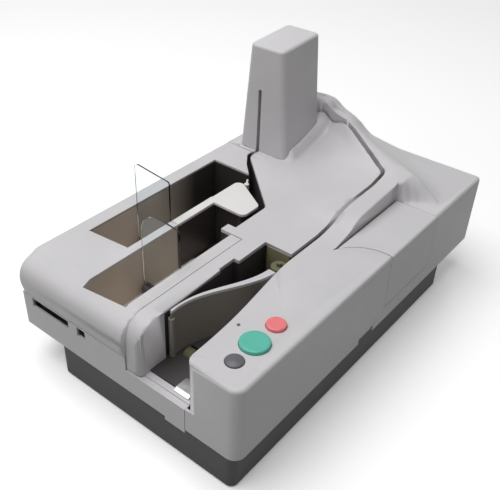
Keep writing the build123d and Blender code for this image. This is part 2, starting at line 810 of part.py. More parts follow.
# ================================================================ transport cover: strip and island
with BuildPart() as transport_shell:
    with BuildSketch(Plane.XY.offset(nose_bottom)):
        add(island_plan())
    extrude(amount=deck_top - nose_bottom)
    # only the nose comes down to the sill
    spanning_box(
        (left, face + sill_depth, nose_bottom), (right, rear, track_top), Mode.SUBTRACT
    )
    with BuildSketch(Plane.YZ.offset(left)):
        add(nose_section(0, 0))
    extrude(amount=body_width, mode=Mode.INTERSECT)
    add(hump(island_plan(), climb))
    # hollow, open at the bottom
    with BuildSketch() as inner_plan:
        add(island_plan())
        offset(amount=-wall, kind=Kind.INTERSECTION, mode=Mode.REPLACE)
    with BuildPart(mode=Mode.PRIVATE) as strip_hollow:
        with BuildSketch(Plane.XY.offset(track_top)):
            add(inner_plan.sketch)
        extrude(amount=deck_top - wall - track_top)
        with BuildSketch(Plane.YZ.offset(left)):
            add(nose_section(wall, wall))
        extrude(amount=body_width, mode=Mode.INTERSECT)
    add(strip_hollow.part, mode=Mode.SUBTRACT)
    add(hump(inner_plan.sketch, inner_climb), mode=Mode.SUBTRACT)
    # room for the tower, its sensors and the rollers
    add(tower_block(-tower_seam), mode=Mode.SUBTRACT)
    sensor_windows()
    upright_rod(
        drive_places, roller_bottom - window_gap, roller_top + window_gap, drive_radius + window_gap,
        Mode.SUBTRACT,
    )

# the light cover is a lip and a nose on dark guide walls
cover_lip = 4.0
guide_room = (left, recess_front, nose_bottom), (right, rear, deck_top - cover_lip)
with BuildPart() as transport_cover:
    add(transport_shell.part)
    spanning_box(*guide_room, Mode.SUBTRACT)
transport_cover.part.label = "transport_cover"
export_step(transport_cover.part, "parts/transport_cover.step")

with BuildPart() as guide_walls:
    add(transport_shell.part)
    spanning_box(*guide_room, Mode.INTERSECT)
guide_walls.part.label = "guide_walls"
export_step(guide_walls.part, "parts/guide_walls.step")

# ================================================================ tower
sleeve = 1.6
with BuildPart() as tower_cover:
    add(tower_block())
    fillet(tower_cover.faces().sort_by(Axis.Z)[-1].edges(), radius=edge_radius)
    add(tower_block(wall, foot=1), mode=Mode.SUBTRACT)
    # sleeve that guides the cheque through the tower
    with BuildPart(mode=Mode.PRIVATE) as guide:
        with BuildSketch(Plane.XY.offset(deck_top)):
            add(track_band(-paper_gap / 2 - sleeve, paper_gap / 2 + sleeve))
        extrude(amount=slit_rise + sleeve)
        add(tower_block(wall / 2), mode=Mode.INTERSECT)
    add(guide.part)
    with BuildSketch(Plane.XY.offset(deck_top - 1)):
        add(track_band(-paper_gap / 2, paper_gap / 2))
    extrude(amount=slit_rise + 1, mode=Mode.SUBTRACT)
    sensor_windows()
tower_cover.part.label = "tower_cover"
export_step(tower_cover.part, "parts/tower_cover.step")

# ================================================================ pocket unit
with BuildPart() as pocket_cover:
    with BuildSketch(Plane.YZ.offset(left)):
        add(bullnose_section(0, 0))
    extrude(amount=strip_left - seam - left)
    fillet(
        pocket_cover.edges().filter_by(lambda e: e.center().Y < front + 20).group_by(Axis.X)[0],
        radius=bullnose_corner,
    )
    with BuildSketch(Plane.XY.offset(cover_bottom)):
        add(cover_plan())
    extrude(amount=deck_top - cover_bottom, mode=Mode.INTERSECT)
    # hollow behind the bullnose, up to the deck's underside
    with BuildSketch(Plane.YZ.offset(left + wall)):
        add(bullnose_section(wall + nose_reach, wall))
    extrude(amount=strip_left - seam - left - 2 * wall, mode=Mode.SUBTRACT)
pocket_cover.part.label = "pocket_cover"
export_step(pocket_cover.part, "parts/pocket_cover.step")

tray_reach = 32.0
with BuildPart() as pocket_tray:
    with BuildSketch(Plane.XY.offset(chassis_top)):
        add(pocket_plan(tray_wall))
        add(pocket_plan(-tray_wall, tray_reach))
        with Locations((pocket_1_right + tray_wall, pocket_1_front + 2 * tray_wall)):
            Rectangle(
                divider_width - 2 * tray_wall, head_front - pocket_1_front - 4 * tray_wall,
                align=(Align.MIN, Align.MIN),
            )
    extrude(amount=tray_floor)
    with BuildSketch(Plane.XY.offset(chassis_top)):
        add(pocket_plan(tray_wall))
    extrude(amount=deck_top - wall - chassis_top)
    with BuildSketch(Plane.XY.offset(tray_top)):
        add(pocket_plan(0, tray_reach))
        with Locations((pocket_1_right - tray_wall, divider_joint - 2 * seam)):
            Rectangle(divider_width + 2 * tray_wall, far, align=(Align.MIN, Align.MIN))
    extrude(amount=far, mode=Mode.SUBTRACT)
    # the liners end under the bullnose
    with BuildPart(mode=Mode.PRIVATE) as bullnose_shell:
        spanning_box((left, front, cover_bottom), (right, face + bullnose_run, deck_top))
        with BuildSketch(Plane.YZ.offset(left)):
            add(bullnose_section(wall + nose_reach, wall))
        extrude(amount=body_width, mode=Mode.SUBTRACT)
    add(bullnose_shell.part, mode=Mode.SUBTRACT)
pocket_tray.part.label = "pocket_tray"
export_step(pocket_tray.part, "parts/pocket_tray.step")

head_plate = 3.0
head_undercut = 4.0


def divider_plan(inset=0.0, undercut=0.0):
    """Plan of the divider wall and its wide head, or of the hollow or the set-back body under it."""
    near, far_side = pocket_1_right + 1.0, pocket_2_left + head_reach - undercut
    with BuildSketch() as plan:
        with Locations((pocket_1_right, divider_joint)):
            Rectangle(divider_width, head_front - divider_joint + 8, align=(Align.MIN, Align.MIN))
        Polygon(
            (near, head_back - undercut), (far_side, head_side - undercut),
            (far_side, head_front + undercut), (near, head_front + undercut),
            align=None,
        )
        rounded = plan.vertices().filter_by(
            lambda v: v.X > pocket_2_left + 1 or (v.Y > head_side and v.X > pocket_1_right + 0.5)
        )
        fillet(rounded, radius=head_corner)
        if inset:
            offset(amount=-inset, kind=Kind.INTERSECTION, mode=Mode.REPLACE)
    return plan.sketch


with BuildPart() as pocket_divider:
    with BuildSketch(Plane.XY.offset(tray_top)):
        add(divider_plan(undercut=head_undercut))
    extrude(amount=deck_top - tray_top)
    with BuildSketch(Plane.XY.offset(deck_top - head_plate)):
        add(divider_plan())
    extrude(amount=head_plate)
    with BuildSketch(Plane.XY.offset(tray_top)):
        add(divider_plan(tray_wall, head_undercut))
    extrude(amount=deck_top - tray_top - head_plate, mode=Mode.SUBTRACT)
    # the head overhangs the track floor with a small gap
    spanning_box(
        (left, border_rear - seam + tray_reach, chassis_top), (right, rear, track_top + seat),
        Mode.SUBTRACT,
    )
pocket_divider.part.label = "pocket_divider"
export_step(pocket_divider.part, "parts/pocket_divider.step")

# ================================================================ stop plates
plate_thickness = 2.0
stop_side_gap = 1.2
foot_depth, foot_height = 12.0, 11.0
first_stop = (pocket_1_left, pocket_1_right, face + 149.5, 183.0, 5.0)
second_stop = (pocket_2_left, pocket_2_right, face + 94.5, 179.0, 26.0)


def stop_plate(side_left, side_right, y, top, corner):
    """Clear upright plate with one rounded upper corner and a lower right shoulder."""
    low = tray_top + foot_height / 2
    with BuildPart() as plate:
        with BuildSketch(Plane.XZ.offset(-y)):
            with BuildLine():
                plate_left, plate_right = side_left + stop_side_gap, side_right - stop_side_gap
                FilletPolyline(
                    (plate_left, low), (plate_left, top), (plate_right, top - 5), (plate_right, low),
                    radius=[corner, 3],
                )
                Line((plate_right, low), (plate_left, low))
            make_face()
        extrude(amount=plate_thickness / 2, both=True)
    return plate.part


def stop_foot(side_left, side_right, y):
    """Block that slides on the tray floor and grips the plate's lower edge."""
    width = side_right - side_left - 2 * stop_side_gap - 3
    with BuildPart() as foot:
        upright_box(
            (side_left + side_right) / 2, y, tray_top + seat, width, foot_depth, foot_height
        )
        fillet(foot.edges().filter_by(Axis.X).group_by(Axis.Z)[-1], radius=2)
        upright_box(
            (side_left + side_right) / 2, y, tray_top + foot_height / 2, width, plate_thickness,
            foot_height, Mode.SUBTRACT,
        )
    return foot.part


with BuildPart() as stop_plate_1:
    add(stop_plate(*first_stop))
stop_plate_1.part.label = "stop_plate_1"
export_step(stop_plate_1.part, "parts/stop_plate_1.step")

with BuildPart() as stop_foot_1:
    add(stop_foot(*first_stop[:3]))
stop_foot_1.part.label = "stop_foot_1"
export_step(stop_foot_1.part, "parts/stop_foot_1.step")

with BuildPart() as stop_plate_2:
    add(stop_plate(*second_stop))
stop_plate_2.part.label = "stop_plate_2"
export_step(stop_plate_2.part, "parts/stop_plate_2.step")

with BuildPart() as stop_foot_2:
    add(stop_foot(*second_stop[:3]))
stop_foot_2.part.label = "stop_foot_2"
export_step(stop_foot_2.part, "parts/stop_foot_2.step")

# ================================================================ chassis and floors
floor_roller_x, floor_roller_y = strip_right + 17.7, face + 57.0
floor_roller_radius, floor_roller_length = 8.0, 20.0
floor_roller_z = track_top + 2.0 - floor_roller_radius
floor_axle_radius = 1.5
lug_thickness, lug_drop = 3.0, 8.5
gate_place = (pocket_1_right + 6.5, face + 273.0)
gate_pin_radius = 2.0
hopper_floor_left = strip_left - 3.6
hopper_floor_right = right - control_width + 2.0
floor_gap = 0.4

with BuildPart() as chassis_plate:
    with BuildSketch(Plane.XY.offset(chassis_bottom)):
        Polygon(
            (left + chassis_side_gap, face + chassis_side_gap + 2),
            (right - control_width - 8, face + sill_depth + floor_gap),
            (right - control_width + 8, face + chassis_side_gap + 2),
            (right - 2 * chassis_side_gap, face + chassis_side_gap + 2),
            (right - chassis_side_gap, face + 2 * chassis_side_gap + 2),
            (right - chassis_side_gap, rear - chassis_rear_gap),
            (left + chassis_side_gap, rear - chassis_rear_gap),
            align=None,
        )
    extrude(amount=chassis_thickness)
    spanning_box(
        (left, front, chassis_bottom - 1),
        (right - control_width + 1, face + sill_depth + floor_gap, chassis_top + 1), Mode.SUBTRACT,
    )
    upright_rod(shaft_places, body_bottom, far, shaft_radius + running, Mode.SUBTRACT)
    upright_rod((motor_place, feed_motor_place), body_bottom, far, shaft_radius + 1, Mode.SUBTRACT)
    upright_rod([gate_place], body_bottom, far, gate_pin_radius + 1, Mode.SUBTRACT)
    upright_rod(post_places, body_bottom, far, screw_radius, Mode.SUBTRACT)
    upright_box(
        floor_roller_x, floor_roller_y, body_bottom,
        floor_roller_length + 4 * lug_thickness, 2 * floor_roller_radius + 6, far, Mode.SUBTRACT,
    )
chassis_plate.part.label = "chassis_plate"
export_step(chassis_plate.part, "parts/chassis_plate.step")

exit_floor_left = pocket_1_right + tray_wall + floor_gap
exit_floor_front = border_rear - seam + tray_reach + floor_gap
exit_floor_right = pocket_2_right - tray_wall + floor_gap
floor_band = 16.0

with BuildPart() as track_floor:
    with BuildSketch(Plane.XY.offset(chassis_top)):
        add(track_band(-floor_band, floor_band))
        Polygon(
            (tower_track_x - 6, block_front + 6),
            (tower_track_x - 6, exit_bend_y),
            (tower_track_x + 10, face + 302),
            (pocket_1_right - 2, pocket_1_rear + tray_wall + floor_gap),
            (exit_floor_left, pocket_1_rear + tray_wall + floor_gap),
            (exit_floor_left, exit_floor_front),
            (exit_floor_right, exit_floor_front),
            (exit_floor_right, border_rear + floor_gap),
            (hopper_floor_left - floor_gap, border_rear + floor_gap),
            (hopper_floor_left - floor_gap, exit_corner_y),
            (tower_track_x + 14, exit_bend_y + 5),
            (tower_track_x + 14, block_front + 6),
            align=None,
        )
    extrude(amount=track_floor_thickness)
    upright_rod(shaft_places, body_bottom, far, shaft_radius + 1, Mode.SUBTRACT)
    upright_rod([gate_place], body_bottom, far, gate_pin_radius + running, Mode.SUBTRACT)
    upright_rod(pinch_places, body_bottom, far, axle_radius, Mode.SUBTRACT)
track_floor.part.label = "track_floor"
export_step(track_floor.part, "parts/track_floor.step")

with BuildPart() as hopper_floor:
    spanning_box(
        (hopper_floor_left, face + sill_depth + floor_gap, chassis_top),
        (hopper_floor_right, hopper_rear - floor_gap, track_top),
    )
    for side in (-1, 1):
        upright_box(
            floor_roller_x + side * (floor_roller_length / 2 + seat + lug_thickness / 2), floor_roller_y,
            chassis_top - lug_drop, lug_thickness, 8, lug_drop,
        )
    with Locations((floor_roller_x, floor_roller_y, floor_roller_z)):
        Cylinder(
            floor_axle_radius + running, floor_roller_length + 4 * lug_thickness,
            rotation=(0, 90, 0), mode=Mode.SUBTRACT,
        )
    upright_box(
        floor_roller_x, floor_roller_y, chassis_bottom - far / 2,
        floor_roller_length + 2 * seat, 2 * floor_roller_radius + seam, far, Mode.SUBTRACT,
    )
    upright_rod(
        (feed_place, pickup_place, separation_place), body_bottom, far, shaft_radius + 1, Mode.SUBTRACT
    )
hopper_floor.part.label = "hopper_floor"
export_step(hopper_floor.part, "parts/hopper_floor.step")

guide_left, guide_right = sill_right - 22.4, sill_right - 4.4
with BuildPart() as hopper_entry_guide:
    with BuildSketch(Plane.YZ.offset(guide_left)):
        Polygon(
            (face + sill_depth - 4, nose_bottom),
            (face + sill_depth + floor_gap / 2, nose_bottom),
            (face + sill_depth + floor_gap / 2, track_top),
            (face + sill_depth + 16, track_top),
            (face + sill_depth + 14, track_top + 1),
            (face + sill_depth, track_top + 1),
            (face + sill_depth - 4, nose_bottom + 1),
            align=None,
        )
    extrude(amount=guide_right - guide_left)
hopper_entry_guide.part.label = "hopper_entry_guide"
export_step(hopper_entry_guide.part, "parts/hopper_entry_guide.step")

with BuildPart() as floor_roller:
    with Locations((floor_roller_x, floor_roller_y, floor_roller_z)):
        Cylinder(floor_roller_radius, floor_roller_length, rotation=(0, 90, 0))
        Cylinder(floor_axle_radius, floor_roller_length + 2 * lug_thickness + 1, rotation=(0, 90, 0))
floor_roller.part.label = "floor_roller"
export_step(floor_roller.part, "parts/floor_roller.step")

with BuildPart() as chassis_screws:
    upright_rod(post_places, chassis_top - screw_length, chassis_top + 1, screw_radius)
    upright_rod(post_places, chassis_top, chassis_top + screw_head, screw_head_radius)
chassis_screws.part.label = "chassis_screws"
export_step(chassis_screws.part, "parts/chassis_screws.step")

# ================================================================ pressing plate
pressing_thickness = 2.5
plate_pin_radius = 1.5
plate_pivot = (strip_right + 2.7, face + 42.0)
pressing_bottom, pressing_top = track_top + seat, deck_top - 1.0
pressing_barrel = 3.2
barrel_top = pressing_top - 9.0
pressing_flange, flange_height = 7.0, 3.0


def pressing_bend(shift=0.0):
    """Curve of the pressing plate, or of its flange's edge, which moves away towards the end."""
    Spline(
        (plate_pivot[0], plate_pivot[1]),
        (strip_right + 10.2 - shift * 0.4, face + 82),
        (track_x - 7.3 - shift * 0.75, face + 123),
        (track_x + 1.4 - shift, face + 152),
    )


with BuildPart() as pressing_plate:
    with BuildSketch(Plane.XY.offset(pressing_bottom)):
        with BuildLine() as bend:
            pressing_bend()
        trace(bend.edges(), line_width=pressing_thickness)
    extrude(amount=pressing_top - pressing_bottom)
    # flange along the upper edge, wider towards the rear
    with BuildSketch(Plane.XY.offset(pressing_top - flange_height)):
        with BuildLine():
            pressing_bend()
            pressing_bend(pressing_flange)
            Line((track_x + 1.4, face + 152), (track_x + 1.4 - pressing_flange, face + 152))
        make_face()
    extrude(amount=flange_height)
    # barrel for the pin, covered by the plate itself
    upright_rod([plate_pivot], pressing_bottom, barrel_top, pressing_barrel)
    upright_rod([plate_pivot], pressing_bottom, barrel_top, plate_pin_radius + running, Mode.SUBTRACT)
pressing_plate.part.label = "pressing_plate"
export_step(pressing_plate.part, "parts/pressing_plate.step")

with BuildPart() as plate_pin:
    upright_rod([plate_pivot], track_top, barrel_top - seat, plate_pin_radius)
plate_pin.part.label = "plate_pin"
export_step(plate_pin.part, "parts/plate_pin.step")

# ================================================================ rollers, shafts, belts and motors
def roller(place, radius):
    """Rubber tyre on a shaft, with a light chamfer on both rims."""
    with BuildPart() as tyre:
        upright_rod([place], roller_bottom, roller_top, radius)
        chamfer(tyre.edges().filter_by(GeomType.CIRCLE), length=0.8)
        upright_rod([place], roller_bottom, roller_top, shaft_radius, Mode.SUBTRACT)
    return tyre.part


def driven_shaft(place, pulley=True):
    """Steel shaft in the chassis plate, with a flanged belt pulley below it."""
    with BuildPart() as shaft:
        upright_rod([place], pulley_bottom - 1.0, shaft_top, shaft_radius)
        upright_rod([place], chassis_top + seat, chassis_top + 2.0, shaft_radius + 0.8)
        if pulley:
            upright_rod([place], pulley_bottom, pulley_top, pulley_radius)
            for z in (pulley_bottom, pulley_top - 0.8):
                upright_rod([place], z, z + 0.8, pulley_radius + belt_thickness + 0.5)
    return shaft.part


def belt(places):
    """Flat belt round a set of pulleys."""
    low, high = pulley_bottom + 1.2, pulley_top - 1.2
    inner, outer = pulley_radius + belt_slack, pulley_radius + belt_slack + belt_thickness
    with BuildPart() as loop:
        for radius, mode in ((outer, Mode.ADD), (inner, Mode.SUBTRACT)):
            with BuildSketch(Plane.XY.offset(low)):
                with Locations(*places):
                    Circle(radius)
                make_hull()
            extrude(amount=high - low, mode=mode)
    return loop.part


def motor(place, radius, height):
    """Motor on the chassis plate with its shaft and pulley hanging below."""
    with BuildPart() as unit:
        upright_rod([place], chassis_top, chassis_top + height, radius)
        fillet(unit.edges().group_by(Axis.Z)[-1], radius=2)
        upright_rod([place], chassis_top + height, chassis_top + height + 3, radius / 3)
        upright_rod([place], pulley_bottom - 1.0, chassis_top, shaft_radius)
        upright_rod([place], pulley_bottom, pulley_top, pulley_radius)
        for z in (pulley_bottom, pulley_top - 0.8):
            upright_rod([place], z, z + 0.8, pulley_radius + belt_thickness + 0.5)
    return unit.part


for number, place in enumerate(drive_places, start=1):
    tyre = roller(place, drive_radius)
    tyre.label = f"drive_roller_{number}"
    export_step(tyre, f"parts/drive_roller_{number}.step")
    shaft = driven_shaft(place)
    shaft.label = f"drive_shaft_{number}"
    export_step(shaft, f"parts/drive_shaft_{number}.step")

for number, place in enumerate(pinch_places, start=1):
    with BuildPart() as pinch_roller:
        upright_rod([place], roller_bottom, roller_top, pinch_radius)
        chamfer(pinch_roller.edges().filter_by(GeomType.CIRCLE), length=0.8)
        upright_rod([place], roller_bottom, roller_top, axle_radius + running, Mode.SUBTRACT)
    pinch_roller.part.label = f"pinch_roller_{number}"
    export_step(pinch_roller.part, f"parts/pinch_roller_{number}.step")

with BuildPart() as pinch_axles:
    upright_rod(pinch_places, chassis_top, roller_top + 3, axle_radius)
    upright_rod(pinch_places, track_top, roller_bottom - seat, axle_radius + 0.3)
    upright_rod(pinch_places, roller_top + seat, roller_top + 1.0, axle_radius + 1.0)
pinch_axles.part.label = "pinch_axles"
export_step(pinch_axles.part, "parts/pinch_axles.step")

with BuildPart() as feed_roller:
    add(roller(feed_place, feed_radius))
feed_roller.part.label = "feed_roller"
export_step(feed_roller.part, "parts/feed_roller.step")

with BuildPart() as feed_shaft:
    add(driven_shaft(feed_place))
feed_shaft.part.label = "feed_shaft"
export_step(feed_shaft.part, "parts/feed_shaft.step")

with BuildPart() as pickup_roller:
    add(roller(pickup_place, feed_radius))
pickup_roller.part.label = "pickup_roller"
export_step(pickup_roller.part, "parts/pickup_roller.step")

with BuildPart() as pickup_shaft:
    add(driven_shaft(pickup_place))
pickup_shaft.part.label = "pickup_shaft"
export_step(pickup_shaft.part, "parts/pickup_shaft.step")

with BuildPart() as separation_roller:
    add(roller(separation_place, separation_radius))
    add(driven_shaft(separation_place, pulley=False))
separation_roller.part.label = "separation_roller"
export_step(separation_roller.part, "parts/separation_roller.step")

with BuildPart() as transport_belt:
    add(belt((motor_place,) + drive_places))
transport_belt.part.label = "transport_belt"
export_step(transport_belt.part, "parts/transport_belt.step")

with BuildPart() as feed_belt:
    add(belt((feed_motor_place, feed_place, pickup_place)))
feed_belt.part.label = "feed_belt"
export_step(feed_belt.part, "parts/feed_belt.step")

with BuildPart() as transport_motor:
    add(motor(motor_place, motor_radius, motor_height))
transport_motor.part.label = "transport_motor"
export_step(transport_motor.part, "parts/transport_motor.step")

with BuildPart() as feed_motor:
    add(motor(feed_motor_place, feed_motor_radius, feed_motor_height))
feed_motor.part.label = "feed_motor"
export_step(feed_motor.part, "parts/feed_motor.step")

# ================================================================ diverter gate
gate_reach, gate_thickness = 11.0, 2.2
gate_angle = 122.0  # degrees from +X, pointing back up the track
gate_top = deck_top - 6.0
gate_bottom = track_top + seat

with BuildPart() as diverter_gate:
    with BuildSketch(Plane.XY.offset(gate_bottom)):
        tip_x = gate_place[0] + gate_reach * cos(radians(gate_angle))
        tip_y = gate_place[1] + gate_reach * sin(radians(gate_angle))
        with BuildLine() as blade:
            Line(gate_place, (tip_x, tip_y))
        trace(blade.edges(), line_width=gate_thickness)
        with Locations(gate_place):
            Circle(gate_pin_radius + 1.0)
    extrude(amount=gate_top - gate_bottom)
    upright_rod([gate_place], pulley_bottom, gate_top, gate_pin_radius)
    upright_box(gate_place[0] - 5, gate_place[1], pulley_bottom, 14, 5, 3)
diverter_gate.part.label = "diverter_gate"
export_step(diverter_gate.part, "parts/diverter_gate.step")

solenoid_width, solenoid_height = 18.0, 19.0
with BuildPart() as gate_solenoid:
    upright_box(
        gate_place[0] - 28, gate_place[1], chassis_bottom - solenoid_height,
        solenoid_width, solenoid_width, solenoid_height,
    )
    fillet(gate_solenoid.edges().filter_by(Axis.Z), radius=2)
    with Locations((gate_place[0] - 28 + solenoid_width / 2, gate_place[1], chassis_bottom - 9)):
        Cylinder(3, 6, rotation=(0, 90, 0), align=(Align.CENTER, Align.CENTER, Align.MIN))
gate_solenoid.part.label = "gate_solenoid"
export_step(gate_solenoid.part, "parts/gate_solenoid.step")

# ================================================================ sensors, head and ink cartridge
def image_sensor(side):
    """Upright contact image sensor bar beside the track in the tower."""
    x = tower_track_x + side * (paper_gap / 2 + sensor_width / 2)
    with BuildPart() as sensor:
        upright_box(x, sensor_y, track_top, sensor_width, sensor_depth, slit_top - 2 - track_top)
        fillet(sensor.edges().filter_by(Axis.Z), radius=1)
    return sensor.part


with BuildPart() as left_image_sensor:
    add(image_sensor(-1))
left_image_sensor.part.label = "left_image_sensor"
export_step(left_image_sensor.part, "parts/left_image_sensor.step")

with BuildPart() as right_image_sensor:
    add(image_sensor(1))
right_image_sensor.part.label = "right_image_sensor"
export_step(right_image_sensor.part, "parts/right_image_sensor.step")

with BuildPart() as magnetic_head:
    upright_box(
        track_x + nip + magnet_width / 2, magnet_y, track_top, magnet_width, magnet_depth, magnet_height
    )
    fillet(magnetic_head.edges().filter_by(Axis.Z).group_by(Axis.X)[0], radius=4)
magnetic_head.part.label = "magnetic_head"
export_step(magnetic_head.part, "parts/magnetic_head.step")

cartridge_width, cartridge_depth, cartridge_height = 26.0, 62.0, 46.0
cartridge_x, cartridge_y = right - 24.0, (access_front + access_rear) / 2
with BuildPart() as ink_cartridge:
    upright_box(
        cartridge_x, cartridge_y, chassis_top, cartridge_width, cartridge_depth, cartridge_height
    )
    fillet(ink_cartridge.edges().filter_by(Axis.Z), radius=3)
    upright_box(
        cartridge_x - cartridge_width / 2, cartridge_y, chassis_top + cartridge_height - 14,
        10, 14, 14,
    )
ink_cartridge.part.label = "ink_cartridge"
export_step(ink_cartridge.part, "parts/ink_cartridge.step")

# ================================================================ electronics
with BuildPart() as panel_board:
    upright_box(
        button_x, board_y, board_top - board_thickness, board_width, board_depth, board_thickness
    )
    for y in (start_y, stop_y, function_y):
        upright_box(button_x, y, board_top, 6, 6, 1.0)
panel_board.part.label = "panel_board"
export_step(panel_board.part, "parts/panel_board.step")

main_board_x, main_board_y = pocket_1_right + 11.0, face + 140.0
main_board_width, main_board_depth = 96.0, 170.0
standoff_height, standoff_radius = 4.0, 2.5
with BuildPart() as main_board:
    base = body_bottom + tub_floor
    upright_box(
        main_board_x, main_board_y, base + standoff_height, main_board_width, main_board_depth,
        board_thickness,
    )
    with Locations((main_board_x, main_board_y, base)):
        with GridLocations(main_board_width - 10, main_board_depth - 10, 2, 2):
            Cylinder(
                standoff_radius, standoff_height, align=(Align.CENTER, Align.CENTER, Align.MIN)
            )
    upright_box(
        main_board_x - 30, main_board_y - 30, base + standoff_height + board_thickness, 24, 24, 3
    )
    upright_box(
        main_board_x + 34, main_board_y + 30, base + standoff_height + board_thickness, 12, 60, 7
    )
main_board.part.label = "main_board"
export_step(main_board.part, "parts/main_board.step")

supply_size = (58.0, 42.0, 40.0)
with BuildPart() as power_supply:
    upright_box(right - 50, rear - chassis_rear_gap - supply_size[1] / 2 - 6, chassis_top, *supply_size)
    fillet(power_supply.edges().filter_by(Axis.Z), radius=2)
power_supply.part.label = "power_supply"
export_step(power_supply.part, "parts/power_supply.step")

flange, flange_thickness, port_depth = 2.5, 1.2, 16.0


def port_body(x, size):
    """Block in an opening of the rear wall, with a thin flange outside."""
    width, height = size
    with BuildPart() as body:
        spanning_box((x - width / 2, rear - port_depth, port_z), (x + width / 2, rear, port_z + height))
        spanning_box(
            (x - width / 2 - flange, rear, port_z - flange),
            (x + width / 2 + flange, rear + flange_thickness, port_z + height + flange),
        )
    return body.part


with BuildPart() as power_inlet:
    add(port_body(inlet_x, inlet_size))
    spanning_box(
        (inlet_x - 11, rear - 12, port_z + 3), (inlet_x + 11, rear + 3, port_z + 17), Mode.SUBTRACT
    )
    for shift, lift in ((-6, 8), (0, 12), (6, 8)):
        spanning_box(
            (inlet_x + shift - 1, rear - 12, port_z + lift - 2),
            (inlet_x + shift + 1, rear - 5, port_z + lift + 2),
        )
power_inlet.part.label = "power_inlet"
export_step(power_inlet.part, "parts/power_inlet.step")

with BuildPart() as data_sockets:
    add(port_body(sockets_x, socket_size))
    for shift in (-9, 8):
        spanning_box(
            (sockets_x + shift - 5, rear - 12, port_z + 2),
            (sockets_x + shift + 5, rear + 3, port_z + 11), Mode.SUBTRACT,
        )
        spanning_box(
            (sockets_x + shift - 2.5, rear - 12, port_z + 5),
            (sockets_x + shift + 2.5, rear - 6, port_z + 7.5),
        )
data_sockets.part.label = "data_sockets"
export_step(data_sockets.part, "parts/data_sockets.step")

switch_wall = 1.6
rocker_z = port_z + switch_size[1] / 2
with BuildPart() as switch_frame:
    add(port_body(switch_x, switch_size))
    spanning_box(
        (switch_x - switch_size[0] / 2 + switch_wall, rear - port_depth + 2, port_z + switch_wall),
        (switch_x + switch_size[0] / 2 - switch_wall, rear + 3, port_z + switch_size[1] - switch_wall),
        Mode.SUBTRACT,
    )
    with Locations((switch_x, rear - 4, rocker_z)):
        Cylinder(1.2, switch_size[0] - 1, rotation=(0, 90, 0))
switch_frame.part.label = "switch_frame"
export_step(switch_frame.part, "parts/switch_frame.step")

rocker_width = switch_size[0] - 2 * switch_wall - 0.8
rocker_half = 8.2
with BuildPart() as power_rocker:
    with BuildSketch(Plane.YZ.offset(switch_x - rocker_width / 2)):
        Polygon(
            (rear - 8, rocker_z - 4),
            (rear - 2, rocker_z - rocker_half + 0.6),
            (rear + port_reach, rocker_z - rocker_half + 0.8),
            (rear - 0.2, rocker_z),
            (rear + 0.4, rocker_z + rocker_half - 0.8),
            (rear - 3.5, rocker_z + rocker_half - 0.6),
            (rear - 8, rocker_z + 4),
            align=None,
        )
    extrude(amount=rocker_width)
    with Locations((switch_x, rear - 4, rocker_z)):
        Cylinder(1.2 + running, switch_size[0], rotation=(0, 90, 0), mode=Mode.SUBTRACT)
power_rocker.part.label = "power_rocker"
export_step(power_rocker.part, "parts/power_rocker.step")

# ================================================================ buttons and lens
def button(y, radius, lift, crown):
    """Round button: cap through the deck, with a stem that reaches for the switch below."""
    with BuildPart() as cap:
        upright_rod([(button_x, y)], deck_top - button_skirt, deck_top + lift, radius)
        fillet(cap.edges().group_by(Axis.Z)[-1], radius=crown)
        upright_rod(
            [(button_x, y)], board_top + 1.0 + button_travel + 0.5, deck_top - button_skirt, stem_radius
        )
    return cap.part


with BuildPart() as start_button:
    add(button(start_y, start_radius, start_lift, 1.6))
start_button.part.label = "start_button"
export_step(start_button.part, "parts/start_button.step")

with BuildPart() as stop_button:
    add(button(stop_y, stop_radius, stop_lift, 1.4))
stop_button.part.label = "stop_button"
export_step(stop_button.part, "parts/stop_button.step")

with BuildPart() as function_button:
    add(button(function_y, function_radius, function_lift, 1.8))
function_button.part.label = "function_button"
export_step(function_button.part, "parts/function_button.step")

with BuildPart() as indicator_lens:
    upright_rod([(lens_x, lens_y)], deck_top - wall - 2, deck_top + 0.4, lens_radius)
indicator_lens.part.label = "indicator_lens"
export_step(indicator_lens.part, "parts/indicator_lens.step")

# ================================================================ side access cover and its pin
with BuildPart() as side_access_cover:
    with BuildSketch(Plane.XY.offset(deck_top - wall)):
        add(access_plan())
    extrude(amount=wall)
    fillet(
        side_access_cover.edges().filter_by(Axis.Y).filter_by(
            lambda e: abs(e.center().X - access_left) < 0.01 and abs(e.center().Z - deck_top) < 0.01
        ),
        radius=wall - 0.3,
    )
    spanning_box(
        (right - wall, access_front, access_bottom), (right + 2, access_rear, deck_top)
    )
    with BuildSketch(Plane.XZ.offset(-access_front + access_sweep)) as side_round:
        with Locations((right, deck_top)):
            Rectangle(far, far, align=(Align.MAX, Align.MAX))
    extrude(amount=-far, mode=Mode.INTERSECT)
    fillet(
        side_access_cover.edges().filter_by(Axis.Y).filter_by(
            lambda e: abs(e.center().X - right) < 0.01 and abs(e.center().Z - deck_top) < 0.01
        ),
        radius=edge_radius - 1.5,
    )
    # barrel under the left edge, with room for the housing's two lugs below the skin
    with Locations((barrel_x, sum(lug_centres) / 2, barrel_z)):
        Cylinder(barrel_radius, lug_centres[1] - lug_centres[0], rotation=(90, 0, 0))
    for y in lug_centres:
        lug_room = lug_length / 2 + seam
        spanning_box(
            (access_left - wall, y - lug_room, barrel_z - 2 * barrel_radius),
            (barrel_x + barrel_radius + seam, y + lug_room, deck_top - cover_skin), Mode.SUBTRACT,
        )
    with Locations((barrel_x, (access_front + access_rear) / 2, barrel_z)):
        Cylinder(hinge_pin_radius + running, far / 2, rotation=(90, 0, 0), mode=Mode.SUBTRACT)
side_access_cover.part.label = "side_access_cover"
export_step(side_access_cover.part, "parts/side_access_cover.step")

